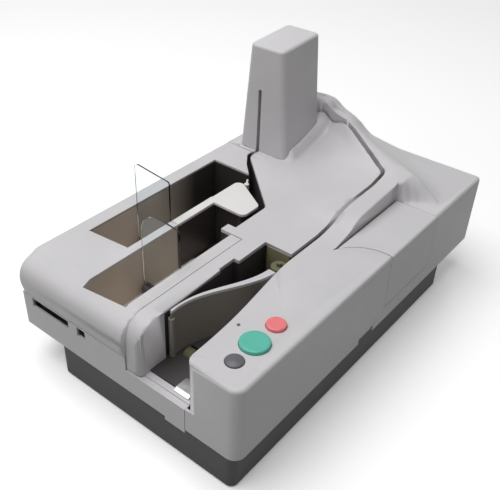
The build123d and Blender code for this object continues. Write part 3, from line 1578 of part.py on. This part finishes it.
with BuildPart() as side_cover_pin:
    pin_length = lug_centres[1] - lug_centres[0] + lug_length
    with Locations((barrel_x, (lug_centres[0] + lug_centres[1]) / 2, barrel_z)):
        Cylinder(hinge_pin_radius, pin_length, rotation=(90, 0, 0))
side_cover_pin.part.label = "side_cover_pin"
export_step(side_cover_pin.part, "parts/side_cover_pin.step")
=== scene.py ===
"""Looks of a desktop cheque scanner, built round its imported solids.

Metres, in the frame of the solids: +X is the operator's right, +Y the rear, +Z up.
"""
import json
import math

import bpy
from bpy.props import FloatProperty, FloatVectorProperty, PointerProperty
from mathutils import Matrix, Vector


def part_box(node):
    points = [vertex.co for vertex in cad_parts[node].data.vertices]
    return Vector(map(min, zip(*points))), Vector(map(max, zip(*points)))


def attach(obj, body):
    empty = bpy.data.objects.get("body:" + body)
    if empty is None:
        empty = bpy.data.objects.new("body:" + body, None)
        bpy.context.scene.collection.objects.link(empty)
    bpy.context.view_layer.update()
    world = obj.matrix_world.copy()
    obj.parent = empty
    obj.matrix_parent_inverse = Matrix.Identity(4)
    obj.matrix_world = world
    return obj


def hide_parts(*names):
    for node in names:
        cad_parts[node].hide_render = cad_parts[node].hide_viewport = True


bl_info = {
    "name": "Cheque Scanner",
    "version": (1, 0, 0),
    "blender": (4, 5, 0),
    "location": "3D View > Sidebar > Cheque Scanner",
    "description": "Dresses a desktop cheque scanner and sets its studio",
    "category": "Add Mesh",
}

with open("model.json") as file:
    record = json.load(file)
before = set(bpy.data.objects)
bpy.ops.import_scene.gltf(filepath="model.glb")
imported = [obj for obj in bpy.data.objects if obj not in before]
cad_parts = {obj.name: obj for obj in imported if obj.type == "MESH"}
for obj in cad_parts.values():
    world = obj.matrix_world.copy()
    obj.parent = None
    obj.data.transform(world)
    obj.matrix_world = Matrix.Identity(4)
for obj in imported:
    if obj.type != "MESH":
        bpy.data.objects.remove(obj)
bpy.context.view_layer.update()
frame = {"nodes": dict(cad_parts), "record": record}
MM = 0.001


# ---------------------------------------------------------------- colours
def colour(code):
    """sRGB hex value as linear red, green, blue, alpha."""
    parts = [int(code[i:i + 2], 16) / 255 for i in (1, 3, 5)]
    return tuple(c / 12.92 if c <= 0.04045 else ((c + 0.055) / 1.055) ** 2.4 for c in parts) + (1.0,)


def grey(level):
    """Linear grey, used to darken a colour."""
    return (level, level, level, 1)


def scaled(shade, share):
    """A linear colour made lighter or darker."""
    return tuple(min(1.0, c * share) for c in shade[:3]) + (1.0,)


def length(name, description, default):
    return FloatProperty(name=name, description=description, default=default, min=0, unit="LENGTH")


def tint(name, description, code):
    return FloatVectorProperty(
        name=name, description=description, default=colour(code), size=4, min=0, max=1, subtype="COLOR"
    )


class SCANNER_PG_sizes(bpy.types.PropertyGroup):
    """Sizes of the finish and of the small pieces."""

    edge_round: length("Edge rounding", "Radius that moulded edges show in the light", 0.7 * MM)
    grain: length("Moulded grain", "Width of one pit of the spark-eroded texture, drawn coarse", 0.7 * MM)
    key_dish: length("Key dish", "Depth of the hollow in the start key", 0.5 * MM)
    lining: length("Lining", "Thickness of the lining behind the hopper", 0.8 * MM)


class SCANNER_PG_colours(bpy.types.PropertyGroup):
    """Colours of the finishes."""

    body: tint("Body", "Light grey housings", "#CDCBCD")
    inner: tint("Pocket lining", "Warm grey inside of the pockets", "#CFC2B6")
    base: tint("Base", "Near-black base", "#1F1D1F")
    # near-black partly as painted shade in the slits, under the deck and under the divider's head
    guide: tint("Guide walls", "Near-black walls of the track and the hopper", "#332E2F")
    divider: tint("Divider", "Near-white divider and gate", "#E6E4E2")
    # the plate's face: partly its own brown-grey, partly painted shade of the cavity it stands in
    plate: tint("Pressing plate", "Brown-grey face of the pressing plate", "#878078")
    clear: tint("Stop plates", "Clear stop plates", "#F3F9F9")
    start: tint("Start key", "Green key", "#52B8A4")
    stop: tint("Stop key", "Red key", "#EE7B7E")
    function: tint("Function key", "Dark grey key", "#55545A")
    # the felt at its upper edge, made lighter and yellower there as painted light
    lining: tint("Hopper lining", "Olive lining behind the hopper", "#8C8568")


# ---------------------------------------------------------------- materials
def add_node(tree, kind, inputs=None, **settings):
    """Add a node: settings are its own, inputs are values or the outputs to link from."""
    made = tree.nodes.new(kind)
    for name, value in settings.items():
        setattr(made, name, value)
    for name, value in (inputs or {}).items():
        if isinstance(value, bpy.types.NodeSocket):
            tree.links.new(value, made.inputs[name])
        else:
            made.inputs[name].default_value = value
    return made


def start_material(name):
    """Empty material with its Principled shader, and the object's own coordinates."""
    made = bpy.data.materials.new(name)
    made.use_nodes = True
    tree = made.node_tree
    tree.nodes.clear()
    shader = add_node(tree, "ShaderNodeBsdfPrincipled")
    add_node(tree, "ShaderNodeOutputMaterial", {"Surface": shader.outputs["BSDF"]})
    place = add_node(tree, "ShaderNodeTexCoord").outputs["Object"]
    return made, tree, shader, place


def ramp(tree, factor, low, high, first, second):
    """Grey or colour that runs from first to second while factor runs from low to high."""
    made = add_node(tree, "ShaderNodeValToRGB", {"Fac": factor})
    made.color_ramp.elements[0].position, made.color_ramp.elements[0].color = low, first
    made.color_ramp.elements[1].position, made.color_ramp.elements[1].color = high, second
    return made.outputs["Color"]


def mix(tree, share, first, second, blend="MIX"):
    """Colour between first and second, each a colour or an output."""
    return add_node(
        tree, "ShaderNodeMix", {0: share, 6: first, 7: second}, data_type="RGBA", blend_type=blend
    ).outputs[2]


def ranged(tree, value, low, high, first=0.0, second=1.0):
    """Number that runs from first to second while value runs from low to high."""
    return add_node(
        tree, "ShaderNodeMapRange",
        {"Value": value, "From Min": low, "From Max": high, "To Min": first, "To Max": second},
    ).outputs["Result"]


def along_axis(tree, place, axis, span, first, second):
    """Colour that runs from first to second along an axis, between the two ends of a span."""
    level = add_node(tree, "ShaderNodeSeparateXYZ", {"Vector": place}).outputs[axis]
    return mix(tree, ranged(tree, level, *span), first, second)


def moulded_plastic(
    name, shade, roughness=0.5, bump=0.12, handled=0.06, other=None, along="Z", span=None
):
    """Injection-moulded plastic: fine spark-eroded grain, broad faint tone and a soft moulded edge.

    The colour can run to another one along an axis, between the two ends of a span in metres.
    """
    sizes = bpy.context.scene.scanner_sizes
    melt_drift, pit_depth = 60 * MM, 0.05 * MM
    made, tree, shader, place = start_material(name)
    shade = tuple(shade)
    if other:
        shade = along_axis(tree, place, along, span, shade, tuple(other))
    # flow of the melt: the tone drifts by a few percent
    flow = add_node(
        tree, "ShaderNodeTexNoise", {"Vector": place, "Scale": 1 / melt_drift, "Detail": 2.0}
    ).outputs["Fac"]
    drift = ramp(tree, flow, 0.3, 0.7, grey(1 - handled), grey(1))
    # pits of the eroded mould: darker and a little glossier at their bottom
    pits = add_node(
        tree, "ShaderNodeTexNoise",
        {"Vector": place, "Scale": 1 / sizes.grain, "Detail": 3.0, "Roughness": 0.6},
    ).outputs["Fac"]
    speck = ramp(tree, pits, 0.35, 0.65, grey(0.95), grey(1))
    tone = mix(tree, 1.0, mix(tree, 1.0, shade, drift, "MULTIPLY"), speck, "MULTIPLY")
    tree.links.new(tone, shader.inputs["Base Color"])
    polish = ranged(tree, pits, 0.0, 1.0, roughness - 0.06, roughness + 0.08)
    tree.links.new(polish, shader.inputs["Roughness"])
    shader.inputs["IOR"].default_value = 1.53
    edge = add_node(tree, "ShaderNodeBevel", {"Radius": sizes.edge_round}, samples=4).outputs["Normal"]
    relief = add_node(
        tree, "ShaderNodeBump",
        {"Height": pits, "Strength": bump, "Distance": pit_depth, "Normal": edge},
    ).outputs["Normal"]
    tree.links.new(relief, shader.inputs["Normal"])
    return made


def cut_acrylic(name, shade):
    """Acrylic sheet, laser cut: clear, with a pale cyan body that shows at the cut edges."""
    wave_width, wave_height = 9 * MM, 0.2 * MM
    made, tree, shader, place = start_material(name)
    shader.inputs["Transmission Weight"].default_value = 1.0
    shader.inputs["IOR"].default_value = 1.49
    shader.inputs["Roughness"].default_value = 0.03
    normal = add_node(tree, "ShaderNodeTexCoord").outputs["Normal"]
    across = add_node(tree, "ShaderNodeSeparateXYZ", {"Vector": normal}).outputs["Y"]
    flat = add_node(tree, "ShaderNodeMath", {0: across}, operation="ABSOLUTE").outputs["Value"]
    tree.links.new(ramp(tree, flat, 0.5, 0.9, scaled(shade, 0.6), shade), shader.inputs["Base Color"])
    haze = add_node(
        tree, "ShaderNodeTexNoise", {"Vector": place, "Scale": 1 / wave_width}
    ).outputs["Fac"]
    relief = add_node(
        tree, "ShaderNodeBump", {"Height": haze, "Strength": 0.04, "Distance": wave_height}
    ).outputs["Normal"]
    tree.links.new(relief, shader.inputs["Normal"])
    return made


def moulded_lens(name):
    """Acrylic lens, moulded in a smoked tone: glossy, with a faint cloud in it."""
    cloud_width = 1.5 * MM
    made, tree, shader, place = start_material(name)
    shader.inputs["Roughness"].default_value = 0.12
    cloud = add_node(
        tree, "ShaderNodeTexNoise", {"Vector": place, "Scale": 1 / cloud_width}
    ).outputs["Fac"]
    tree.links.new(
        ramp(tree, cloud, 0.3, 0.7, colour("#4C4845"), colour("#625E5A")), shader.inputs["Base Color"]
    )
    return made


def rolled_steel(name, code, roughness):
    """Cold-rolled sheet: fine lines along the rolling direction, a little duller in patches."""
    line_width, line_length, line_depth = 0.4 * MM, 30 * MM, 0.02 * MM
    made, tree, shader, place = start_material(name)
    shader.inputs["Metallic"].default_value = 1.0
    shader.inputs["Anisotropic"].default_value = 0.4
    shade = colour(code)
    along = add_node(
        tree, "ShaderNodeMapping",
        {"Vector": place, "Scale": (1 / line_width, 1 / line_length, 1 / line_width)},
    ).outputs["Vector"]
    lines = add_node(
        tree, "ShaderNodeTexNoise", {"Vector": along, "Scale": 1.0, "Detail": 2.0}
    ).outputs["Fac"]
    tree.links.new(
        ramp(tree, lines, 0.3, 0.7, scaled(shade, 0.86), shade), shader.inputs["Base Color"]
    )
    tree.links.new(
        ranged(tree, lines, 0.0, 1.0, roughness - 0.05, roughness + 0.12), shader.inputs["Roughness"]
    )
    relief = add_node(
        tree, "ShaderNodeBump", {"Height": lines, "Strength": 0.1, "Distance": line_depth}
    ).outputs["Normal"]
    tree.links.new(relief, shader.inputs["Normal"])
    return made


def cast_rubber(name, code, other=None, span=None):
    """Ground rubber or felt: matt and dusty; the colour can run to another one with height."""
    dust_width, dust_height = 0.6 * MM, 0.08 * MM
    made, tree, shader, place = start_material(name)
    shade = colour(code)
    shader.inputs["IOR"].default_value = 1.5
    dust = add_node(
        tree, "ShaderNodeTexNoise", {"Vector": place, "Scale": 1 / dust_width, "Detail": 4.0}
    ).outputs["Fac"]
    if other:
        shade = along_axis(tree, place, "Z", span, shade, tuple(other))
    powder = ramp(tree, dust, 0.35, 0.7, grey(0.8), grey(1))
    tree.links.new(mix(tree, 1.0, shade, powder, "MULTIPLY"), shader.inputs["Base Color"])
    tree.links.new(ranged(tree, dust, 0.0, 1.0, 0.72, 0.92), shader.inputs["Roughness"])
    relief = add_node(
        tree, "ShaderNodeBump", {"Height": dust, "Strength": 0.3, "Distance": dust_height}
    ).outputs["Normal"]
    tree.links.new(relief, shader.inputs["Normal"])
    return made


def seen_directly(tree):
    """1 for rays from the camera, off gloss or through a clear sheet, 0 for light on the object."""
    rays = add_node(tree, "ShaderNodeLightPath").outputs
    seen = rays["Is Camera Ray"]
    for other in ("Is Glossy Ray", "Is Transmission Ray"):
        seen = add_node(
            tree, "ShaderNodeMath", {0: seen, 1: rays[other]}, operation="MAXIMUM"
        ).outputs["Value"]
    return seen


def finish_with(node_names, material):
    """Give CAD nodes their material."""
    for name in node_names:
        mesh = frame["nodes"][name].data
        mesh.materials.clear()
        mesh.materials.append(material)


# ---------------------------------------------------------------- modelling by hand
def leave_all():
    """Object mode with nothing selected."""
    if bpy.context.object and bpy.context.object.mode != "OBJECT":
        bpy.ops.object.mode_set(mode="OBJECT")
    bpy.ops.object.select_all(action="DESELECT")


def done(piece, name, material, body, smooth=40):
    """Place into the mesh, normals out, smooth by angle, material and body."""
    leave_all()
    piece.name = piece.data.name = name
    piece.select_set(True)
    bpy.context.view_layer.objects.active = piece
    bpy.ops.object.transform_apply(location=True, rotation=True, scale=True)
    bpy.ops.object.mode_set(mode="EDIT")
    bpy.ops.mesh.select_all(action="SELECT")
    bpy.ops.mesh.remove_doubles(threshold=0.002 * MM)
    bpy.ops.mesh.normals_make_consistent(inside=False)
    bpy.ops.object.mode_set(mode="OBJECT")
    bpy.ops.object.shade_smooth_by_angle(angle=math.radians(smooth))
    piece.data.materials.clear()
    piece.data.materials.append(material)
    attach(piece, body)
    leave_all()
    return piece


def body_of(node):
    """Body that a CAD node belongs to."""
    for body, members in frame["record"]["behaviour"]["bodies"].items():
        if node in members:
            return body
    raise RuntimeError(f"no body holds {node}")


def merged_copy(node, name, material, smooth=30):
    """Copy of a CAD node with merged vertices and smooth shading, which takes the node's place."""
    leave_all()
    piece = bpy.data.objects.new(name, frame["nodes"][node].data.copy())
    bpy.context.scene.collection.objects.link(piece)
    done(piece, name, material, body_of(node), smooth)
    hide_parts(node)


def turned(centre, profile, steps=48):
    """Turned solid: a filled circle is extruded and scaled through (radius, height) pairs."""
    leave_all()
    radius, height = profile[0]
    bpy.ops.mesh.primitive_circle_add(
        vertices=steps, radius=radius, fill_type="NGON", location=(centre[0], centre[1], height)
    )
    piece = bpy.context.object
    bpy.ops.object.mode_set(mode="EDIT")
    bpy.ops.mesh.select_mode(type="FACE")
    bpy.ops.mesh.select_all(action="SELECT")
    for next_radius, next_height in profile[1:]:
        bpy.ops.mesh.extrude_region_move(
            TRANSFORM_OT_translate={"value": (0, 0, next_height - height)}
        )
        share = next_radius / radius
        bpy.ops.transform.resize(
            value=(share, share, 1), center_override=(centre[0], centre[1], next_height)
        )
        radius, height = next_radius, next_height
    bpy.ops.object.mode_set(mode="OBJECT")
    return piece


def swept(outline, depth):
    """Outline in a plane across X, filled and extruded along X by depth."""
    leave_all()
    mesh = bpy.data.meshes.new("swept")
    mesh.from_pydata(outline, [], [range(len(outline))])
    piece = bpy.data.objects.new("swept", mesh)
    bpy.context.scene.collection.objects.link(piece)
    piece.select_set(True)
    bpy.context.view_layer.objects.active = piece
    bpy.ops.object.mode_set(mode="EDIT")
    bpy.ops.mesh.select_mode(type="FACE")
    bpy.ops.mesh.select_all(action="SELECT")
    bpy.ops.mesh.extrude_region_move(TRANSFORM_OT_translate={"value": (depth, 0, 0)})
    bpy.ops.object.mode_set(mode="OBJECT")
    return piece


def between(places, values, at):
    """Value on the broken line through the values at their places."""
    for (low, first), (high, second) in zip(zip(places, values), zip(places[1:], values[1:])):
        if at <= high:
            return first + (second - first) * max(0.0, (at - low) / (high - low))
    return values[-1]


def bent_sheet(columns, rows, place, thickness):
    """Grid bent to place(across, along), each 0 to 1 and in mm, and extruded by a thickness in mm."""
    leave_all()
    bpy.ops.mesh.primitive_grid_add(x_subdivisions=columns, y_subdivisions=rows, size=1)
    piece = bpy.context.object
    for vertex in piece.data.vertices:
        vertex.co = [size * MM for size in place(vertex.co.x + 0.5, vertex.co.y + 0.5)]
    bpy.ops.object.mode_set(mode="EDIT")
    bpy.ops.mesh.select_all(action="SELECT")
    bpy.ops.mesh.extrude_region_move(
        TRANSFORM_OT_translate={"value": [size * MM for size in thickness]}
    )
    bpy.ops.object.mode_set(mode="OBJECT")
    return piece


def saddle():
    """Soft slope from the rim's end behind the tower down to the rear deck."""
    left, right, rear, deck = -124.0, -15.0, 231.0, 130.0
    tuck, merge_width = 2.0, 30  # the inner edge dips into the rim, the right end merges in the slope
    # height of the crest from left to right, and the inner edge that follows the rim
    crest_at = (-124, -118, -112, -106, -100, -94, -88, -64, -58, -52, -46, -40, -34, -28, -22, -15)
    crest = (128, 138, 154, 171, 177, 181.6, 182.8, 182.6, 182, 179, 174, 171.6, 170.6, 169.2, 167, 163.2)
    inner_at, inner_edge = (-124, -109, -97, -85, -72), (184, 186, 191, 198, 202)
    # share of the crest's height left at each tenth of the way to the rear
    steps = (0.0, 0.1, 0.2, 0.3, 0.4, 0.5, 0.6, 0.7, 0.8, 0.9, 1.0)
    full = (1.0, 1.0, 0.985, 0.96, 0.925, 0.86, 0.76, 0.6, 0.38, 0.14, -0.02)
    steep = (1.0, 0.94, 0.91, 0.855, 0.8, 0.71, 0.63, 0.48, 0.22, 0.03, -0.02)

    def place(across, along):
        x = left + (right - left) * across
        start = between(inner_at, inner_edge, x)
        fullness = min(1.0, (right - x) / merge_width)
        fall = fullness * between(steps, full, along) + (1 - fullness) * between(steps, steep, along)
        dip = tuck if along < 0.01 else 0.0
        height = deck + (between(crest_at, crest, x) - deck) * fall - dip
        return x, start + (rear - start) * along, height

    return bent_sheet(40, 22, place, (0, 0, -3))


def slit_lip():
    """Curved strip just inside the rim's inner wall, where the slit nears the tower."""
    xs = (-57.4, -50, -42, -34, -26, -20, -14, -9)
    ys = (188.6, 188.8, 188.8, 188.0, 186.0, 183.2, 179.6, 176.4)
    tops = (180.6, 176.6, 171.4, 169.8, 169.4, 169.6, 169.4, 168.6)
    bottom = 140.0

    def place(across, along):
        x = xs[0] + (xs[-1] - xs[0]) * across
        return x, between(xs, ys, x), between(xs, tops, x) if along > 0.5 else bottom

    return bent_sheet(28, 1, place, (0.6, 1.4, 0))


# ---------------------------------------------------------------- operators
class SCANNER_OT_housings(bpy.types.Operator):
    """Finish the grey housings and the base, and run the rim out behind the tower"""

    bl_idname = "scanner.housings"
    bl_label = "Housings"

    def execute(self, context):
        colours = context.scene.scanner_colours
        # ABS, moulded against a spark-eroded tool: even, matt, softly lit edges
        body = moulded_plastic("abs_moulded_light_grey", colours.body, roughness=0.52)
        for node in ("main_housing", "transport_cover", "tower_cover", "pocket_cover"):
            merged_copy(node, f"{node}_shell", body)
        finish_with(("lower_housing", "side_access_cover"), body)
        for make, name in ((saddle, "rim_saddle"), (slit_lip, "rim_slit_lip")):
            done(make(), name, body, "chassis", smooth=60)
        # ABS with carbon black, lightly grained: near-black, partly its own colour and partly painted
        # shade, so the slits and walls under the deck read as dark as their shade
        finish_with(
            ("guide_walls", "track_floor", "hopper_floor"),
            moulded_plastic("abs_moulded_near_black", colours.guide, roughness=0.5, bump=0.1)
        )
        # polystyrene, moulded with a stronger grain: near-black and dull
        finish_with(
            ["base_plinth"],
            moulded_plastic("polystyrene_moulded_black", colours.base, roughness=0.6, bump=0.2)
        )
        return {"FINISHED"}


class SCANNER_OT_pockets(bpy.types.Operator):
    """Finish the pockets, the divider, the gate and the stop plates"""

    bl_idname = "scanner.pockets"
    bl_label = "Pockets"

    def execute(self, context):
        colours = context.scene.scanner_colours
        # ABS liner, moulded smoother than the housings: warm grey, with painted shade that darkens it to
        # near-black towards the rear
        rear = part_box("pocket_tray")[1].y
        finish_with(
            ["pocket_tray"],
            moulded_plastic(
                "abs_moulded_warm_grey", colours.inner, roughness=0.45,
                other=scaled(colours.inner, 0.05), along="Y", span=(rear - 105 * MM, rear - 40 * MM),
            )
        )
        # polished ABS: near-white and a little glossy
        finish_with(
            ["diverter_gate"],
            moulded_plastic("abs_polished_white", colours.divider, roughness=0.38, bump=0.05)
        )
        # ABS: the divider's head plate is light; the body under it is near-black, partly a dark moulding
        # and partly painted shade on its sides and under the head
        head_bottom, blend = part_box("pocket_divider")[1].z - 3 * MM, 0.1 * MM
        finish_with(
            ["pocket_divider"],
            moulded_plastic(
                "abs_two_shot_white", colours.guide, roughness=0.38, bump=0.05,
                other=colours.divider, span=(head_bottom - blend, head_bottom + blend),
            )
        )
        finish_with(("stop_plate_1", "stop_plate_2"), cut_acrylic("acrylic_cut_clear", colours.clear))
        # acetal, moulded: dark grey, with the waxy gloss of a sliding foot
        finish_with(
            ("stop_foot_1", "stop_foot_2"),
            moulded_plastic("acetal_moulded_dark_grey", colour("#5A544E"), roughness=0.35, bump=0.05)
        )
        return {"FINISHED"}


class SCANNER_OT_hopper(bpy.types.Operator):
    """Finish the hopper: pressing plate, floor plate, entry guide and the olive lining"""

    bl_idname = "scanner.hopper"
    bl_label = "Hopper"

    def execute(self, context):
        colours, sizes = context.scene.scanner_colours, context.scene.scanner_sizes
        # acetal, moulded: waxy, its flange in the housing's grey; the face under it is brown-grey, partly
        # its own tone and partly painted shade of the cavity it stands in
        flange_bottom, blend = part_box("pressing_plate")[1].z - 3 * MM, 0.1 * MM
        finish_with(
            ["pressing_plate"],
            moulded_plastic(
                "acetal_moulded_brown_grey", colours.plate, roughness=0.4, bump=0.05,
                other=colours.body, span=(flange_bottom - blend, flange_bottom + blend),
            )
        )
        # cold-rolled steel: bright, with faint lines
        finish_with(
            ("chassis_plate", "hopper_entry_guide"), rolled_steel("steel_rolled_bright", "#A9A8A9", 0.3)
        )
        # pressed felt on the hopper's rear wall: matt olive, lighter and yellower towards its upper edge
        # as painted light falling in from the opening
        wall_left, wall_y = 33 * MM, -47.3 * MM
        wall_right, wall_low, wall_high = 61.5 * MM, 74 * MM, 126.8 * MM
        front, chamfer = wall_y - sizes.lining, sizes.lining / 2
        outline = (
            (wall_left, front, wall_low), (wall_left, wall_y, wall_low), (wall_left, wall_y, wall_high),
            (wall_left, front + chamfer, wall_high), (wall_left, front, wall_high - chamfer),
        )
        felt = cast_rubber("felt_pressed_olive", "#6D6848", colours.lining, (wall_low, wall_high))
        done(swept(outline, wall_right - wall_left), "hopper_lining", felt, "chassis")
        return {"FINISHED"}


def key_profile(radius, low, top, dish):
    """Radius and height of a key from its stem up: a rounded shoulder, then a hollow or domed crown."""
    stem, skirt, rounding, crown_edge = 2.5 * MM, 8.6 * MM, 1.6 * MM, 2.2 * MM
    shoulder = top + min(dish, 0)
    round_start = shoulder - 1.7 * MM
    profile = [(stem, low), (stem, top - skirt - 0.2 * MM), (radius, top - skirt), (radius, round_start)]
    for degrees in (20, 40, 60, 80):
        angle = math.radians(degrees)
        profile.append(
            (radius - rounding * (1 - math.cos(angle)), round_start + rounding * math.sin(angle))
        )
    # a hollow crown sinks to its middle, a domed one rises to it
    for share in (1.0, 0.75, 0.5, 0.25, 0.03):
        rise = -dish * (1 - share ** 2)
        profile.append(((radius - crown_edge) * share, shoulder - 0.05 * MM + rise))
    return profile


class SCANNER_OT_controls(bpy.types.Operator):
    """Make the three keys and finish the lens"""

    bl_idname = "scanner.controls"
    bl_label = "Controls"

    def execute(self, context):
        colours, sizes = context.scene.scanner_colours, context.scene.scanner_sizes
        keys = (
            ("start_button", "start_key", colours.start, "green_plastic", sizes.key_dish),
            ("stop_button", "stop_key", colours.stop, "red_plastic", 0.25 * MM),
            ("function_button", "function_key", colours.function, "dark_plastic", -0.9 * MM),
        )
        for node, name, shade, slot, dish in keys:
            low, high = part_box(node)
            centre = (low + high) / 2
            # satin ABS cap that meets its side in a full round
            material = moulded_plastic(f"abs_satin_{name}", shade, roughness=0.36, bump=0.04, handled=0.04)
            profile = key_profile((high.x - low.x) / 2, low.z, high.z, dish)
            key = done(turned((centre.x, centre.y), profile), name, material, node)
            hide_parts(node)
        finish_with(["indicator_lens"], moulded_lens("acrylic_moulded_lens"))
        return {"FINISHED"}


class SCANNER_OT_mechanism(bpy.types.Operator):
    """Finish the rollers, shafts, belts, motors, sensors and boards"""

    bl_idname = "scanner.mechanism"
    bl_label = "Mechanism"

    def execute(self, context):
        # cast polyurethane, ground to size: olive and matt
        finish_with(
            [f"{kind}_roller_{n}" for kind in ("drive", "pinch") for n in (1, 2, 3)]
            + ["feed_roller", "pickup_roller", "separation_roller", "floor_roller"],
            cast_rubber("polyurethane_ground_olive", "#6E6A50"),
        )
        # neoprene, moulded: black and dusty
        finish_with(
            ("rubber_feet", "transport_belt", "feed_belt"),
            cast_rubber("neoprene_moulded_black", "#232222")
        )
        # ground steel: brighter and smoother than the rolled sheet
        finish_with(
            ["drive_shaft_1", "drive_shaft_2", "drive_shaft_3", "feed_shaft", "pickup_shaft", "plate_pin",
             "pinch_axles", "side_cover_pin", "chassis_screws", "transport_motor", "feed_motor",
             "gate_solenoid", "power_supply", "magnetic_head"],
            rolled_steel("steel_ground_bright", "#B4B3B5", 0.25),
        )
        # polycarbonate, moulded: black with a light gloss
        finish_with(
            ("left_image_sensor", "right_image_sensor", "ink_cartridge"),
            moulded_plastic("polycarbonate_moulded_black", colour("#1F1F22"), roughness=0.35)
        )
        # glass epoxy under a solder mask: deep green and glossy
        finish_with(
            ("main_board", "panel_board"),
            moulded_plastic("glass_epoxy_green_mask", colour("#1E5A38"), roughness=0.3, bump=0.03)
        )
        return {"FINISHED"}


class SCANNER_OT_ports(bpy.types.Operator):
    """Finish the ports and the power switch at the back"""

    bl_idname = "scanner.ports"
    bl_label = "Ports"

    def execute(self, context):
        # nylon, moulded: black and satin
        finish_with(
            ("power_inlet", "data_sockets", "switch_frame", "power_rocker"),
            moulded_plastic("nylon_moulded_black", colour("#232326"), roughness=0.4)
        )
        return {"FINISHED"}


class SCANNER_OT_stage(bpy.types.Operator):
    """Lay the floor, hang the lamps and place the camera"""

    bl_idname = "scanner.stage"
    bl_label = "Stage"

    def execute(self, context):
        scene = context.scene
        self.lay_floor()
        self.light(scene)
        self.place_camera(scene)
        scene.view_settings.view_transform = "Standard"
        return {"FINISHED"}

    def lay_floor(self):
        """White laid paper: seen it is white, and it throws only a grey light back on the object."""
        leave_all()
        bpy.ops.mesh.primitive_plane_add(size=12, location=(0, 0, 0))
        floor = bpy.context.object
        floor.name = floor.data.name = "floor"
        pulp_width, thrown_back, glow = 4 * MM, grey(0.3), 0.22
        made, tree, shader, place = start_material("paper_laid_white")
        seen = seen_directly(tree)
        pulp = add_node(
            tree, "ShaderNodeTexNoise", {"Vector": place, "Scale": 1 / pulp_width}
        ).outputs["Fac"]
        white = ramp(tree, pulp, 0.3, 0.7, grey(0.97), grey(1))
        tree.links.new(mix(tree, seen, thrown_back, white), shader.inputs["Base Color"])
        shader.inputs["Roughness"].default_value = 0.3
        shader.inputs["Emission Color"].default_value = grey(1)
        tree.links.new(ranged(tree, seen, 0.0, 1.0, 0.0, glow), shader.inputs["Emission Strength"])
        floor.data.materials.append(made)

    def light(self, scene):
        """White world, dim where it lights the object, and two round lamps."""
        world = bpy.data.worlds.new("studio")
        scene.world = world
        world.use_nodes = True
        tree = world.node_tree
        tree.nodes.clear()
        fill = 0.16
        strength = ranged(tree, seen_directly(tree), 0.0, 1.0, fill, 1.0)
        sky = add_node(
            tree, "ShaderNodeBackground", {"Color": grey(1), "Strength": strength}
        ).outputs["Background"]
        add_node(tree, "ShaderNodeOutputWorld", {"Surface": sky})
        aimed_at = Vector((0, 0, 0.1))
        for name, place, size, power in (
            ("ceiling_lamp", (-0.35, -0.35, 2.0), 2.0, 36.0),
            ("front_lamp", (-0.6, -1.8, 1.2), 1.2, 3.0),
        ):
            lamp = bpy.data.lights.new(name, "AREA")
            lamp.shape, lamp.size, lamp.energy = "DISK", size, power
            holder = bpy.data.objects.new(name, lamp)
            holder.location = place
            holder.rotation_euler = (aimed_at - Vector(place)).to_track_quat("-Z", "Y").to_euler()
            scene.collection.objects.link(holder)

    def place_camera(self, scene):
        """Camera from the front right, above the deck."""
        spot, heading, downward, roll = (0.38822, -0.55212, 0.56885), 39.07, 36.51, 1.2
        camera = bpy.data.cameras.new("camera")
        camera.lens, camera.sensor_width, camera.sensor_fit = 52.03, 36.0, "HORIZONTAL"
        camera.shift_x, camera.shift_y = 0.0459, 0.0204
        holder = bpy.data.objects.new("camera", camera)
        holder.matrix_world = (
            Matrix.Translation(spot)
            @ Matrix.Rotation(math.radians(heading), 4, "Z")
            @ Matrix.Rotation(math.radians(90 - downward), 4, "X")
            @ Matrix.Rotation(math.radians(roll), 4, "Z")
        )
        scene.collection.objects.link(holder)
        scene.camera = holder


class SCANNER_PT_panel(bpy.types.Panel):
    """Lists the operators in the order in which they are used."""

    bl_label = "Cheque Scanner"
    bl_idname = "SCANNER_PT_panel"
    bl_space_type = "VIEW_3D"
    bl_region_type = "UI"
    bl_category = "Cheque Scanner"

    def draw(self, context):
        for operator in OPERATORS:
            self.layout.operator(operator.bl_idname)
        for group in (context.scene.scanner_sizes, context.scene.scanner_colours):
            for name in group.bl_rna.properties.keys():
                if name not in ("rna_type", "name"):
                    self.layout.prop(group, name)


OPERATORS = (
    SCANNER_OT_housings,
    SCANNER_OT_pockets,
    SCANNER_OT_hopper,
    SCANNER_OT_controls,
    SCANNER_OT_mechanism,
    SCANNER_OT_ports,
    SCANNER_OT_stage,
)
CLASSES = (SCANNER_PG_sizes, SCANNER_PG_colours) + OPERATORS + (SCANNER_PT_panel,)


def register():
    for each in CLASSES:
        bpy.utils.register_class(each)
    bpy.types.Scene.scanner_sizes = PointerProperty(type=SCANNER_PG_sizes)
    bpy.types.Scene.scanner_colours = PointerProperty(type=SCANNER_PG_colours)


def unregister():
    del bpy.types.Scene.scanner_sizes
    del bpy.types.Scene.scanner_colours
    for each in reversed(CLASSES):
        bpy.utils.unregister_class(each)


def main():
    register()
    bpy.ops.scanner.housings()
    bpy.ops.scanner.pockets()
    bpy.ops.scanner.hopper()
    bpy.ops.scanner.controls()
    bpy.ops.scanner.mechanism()
    bpy.ops.scanner.ports()
    bpy.ops.scanner.stage()


if __name__ == "__main__":
    main()
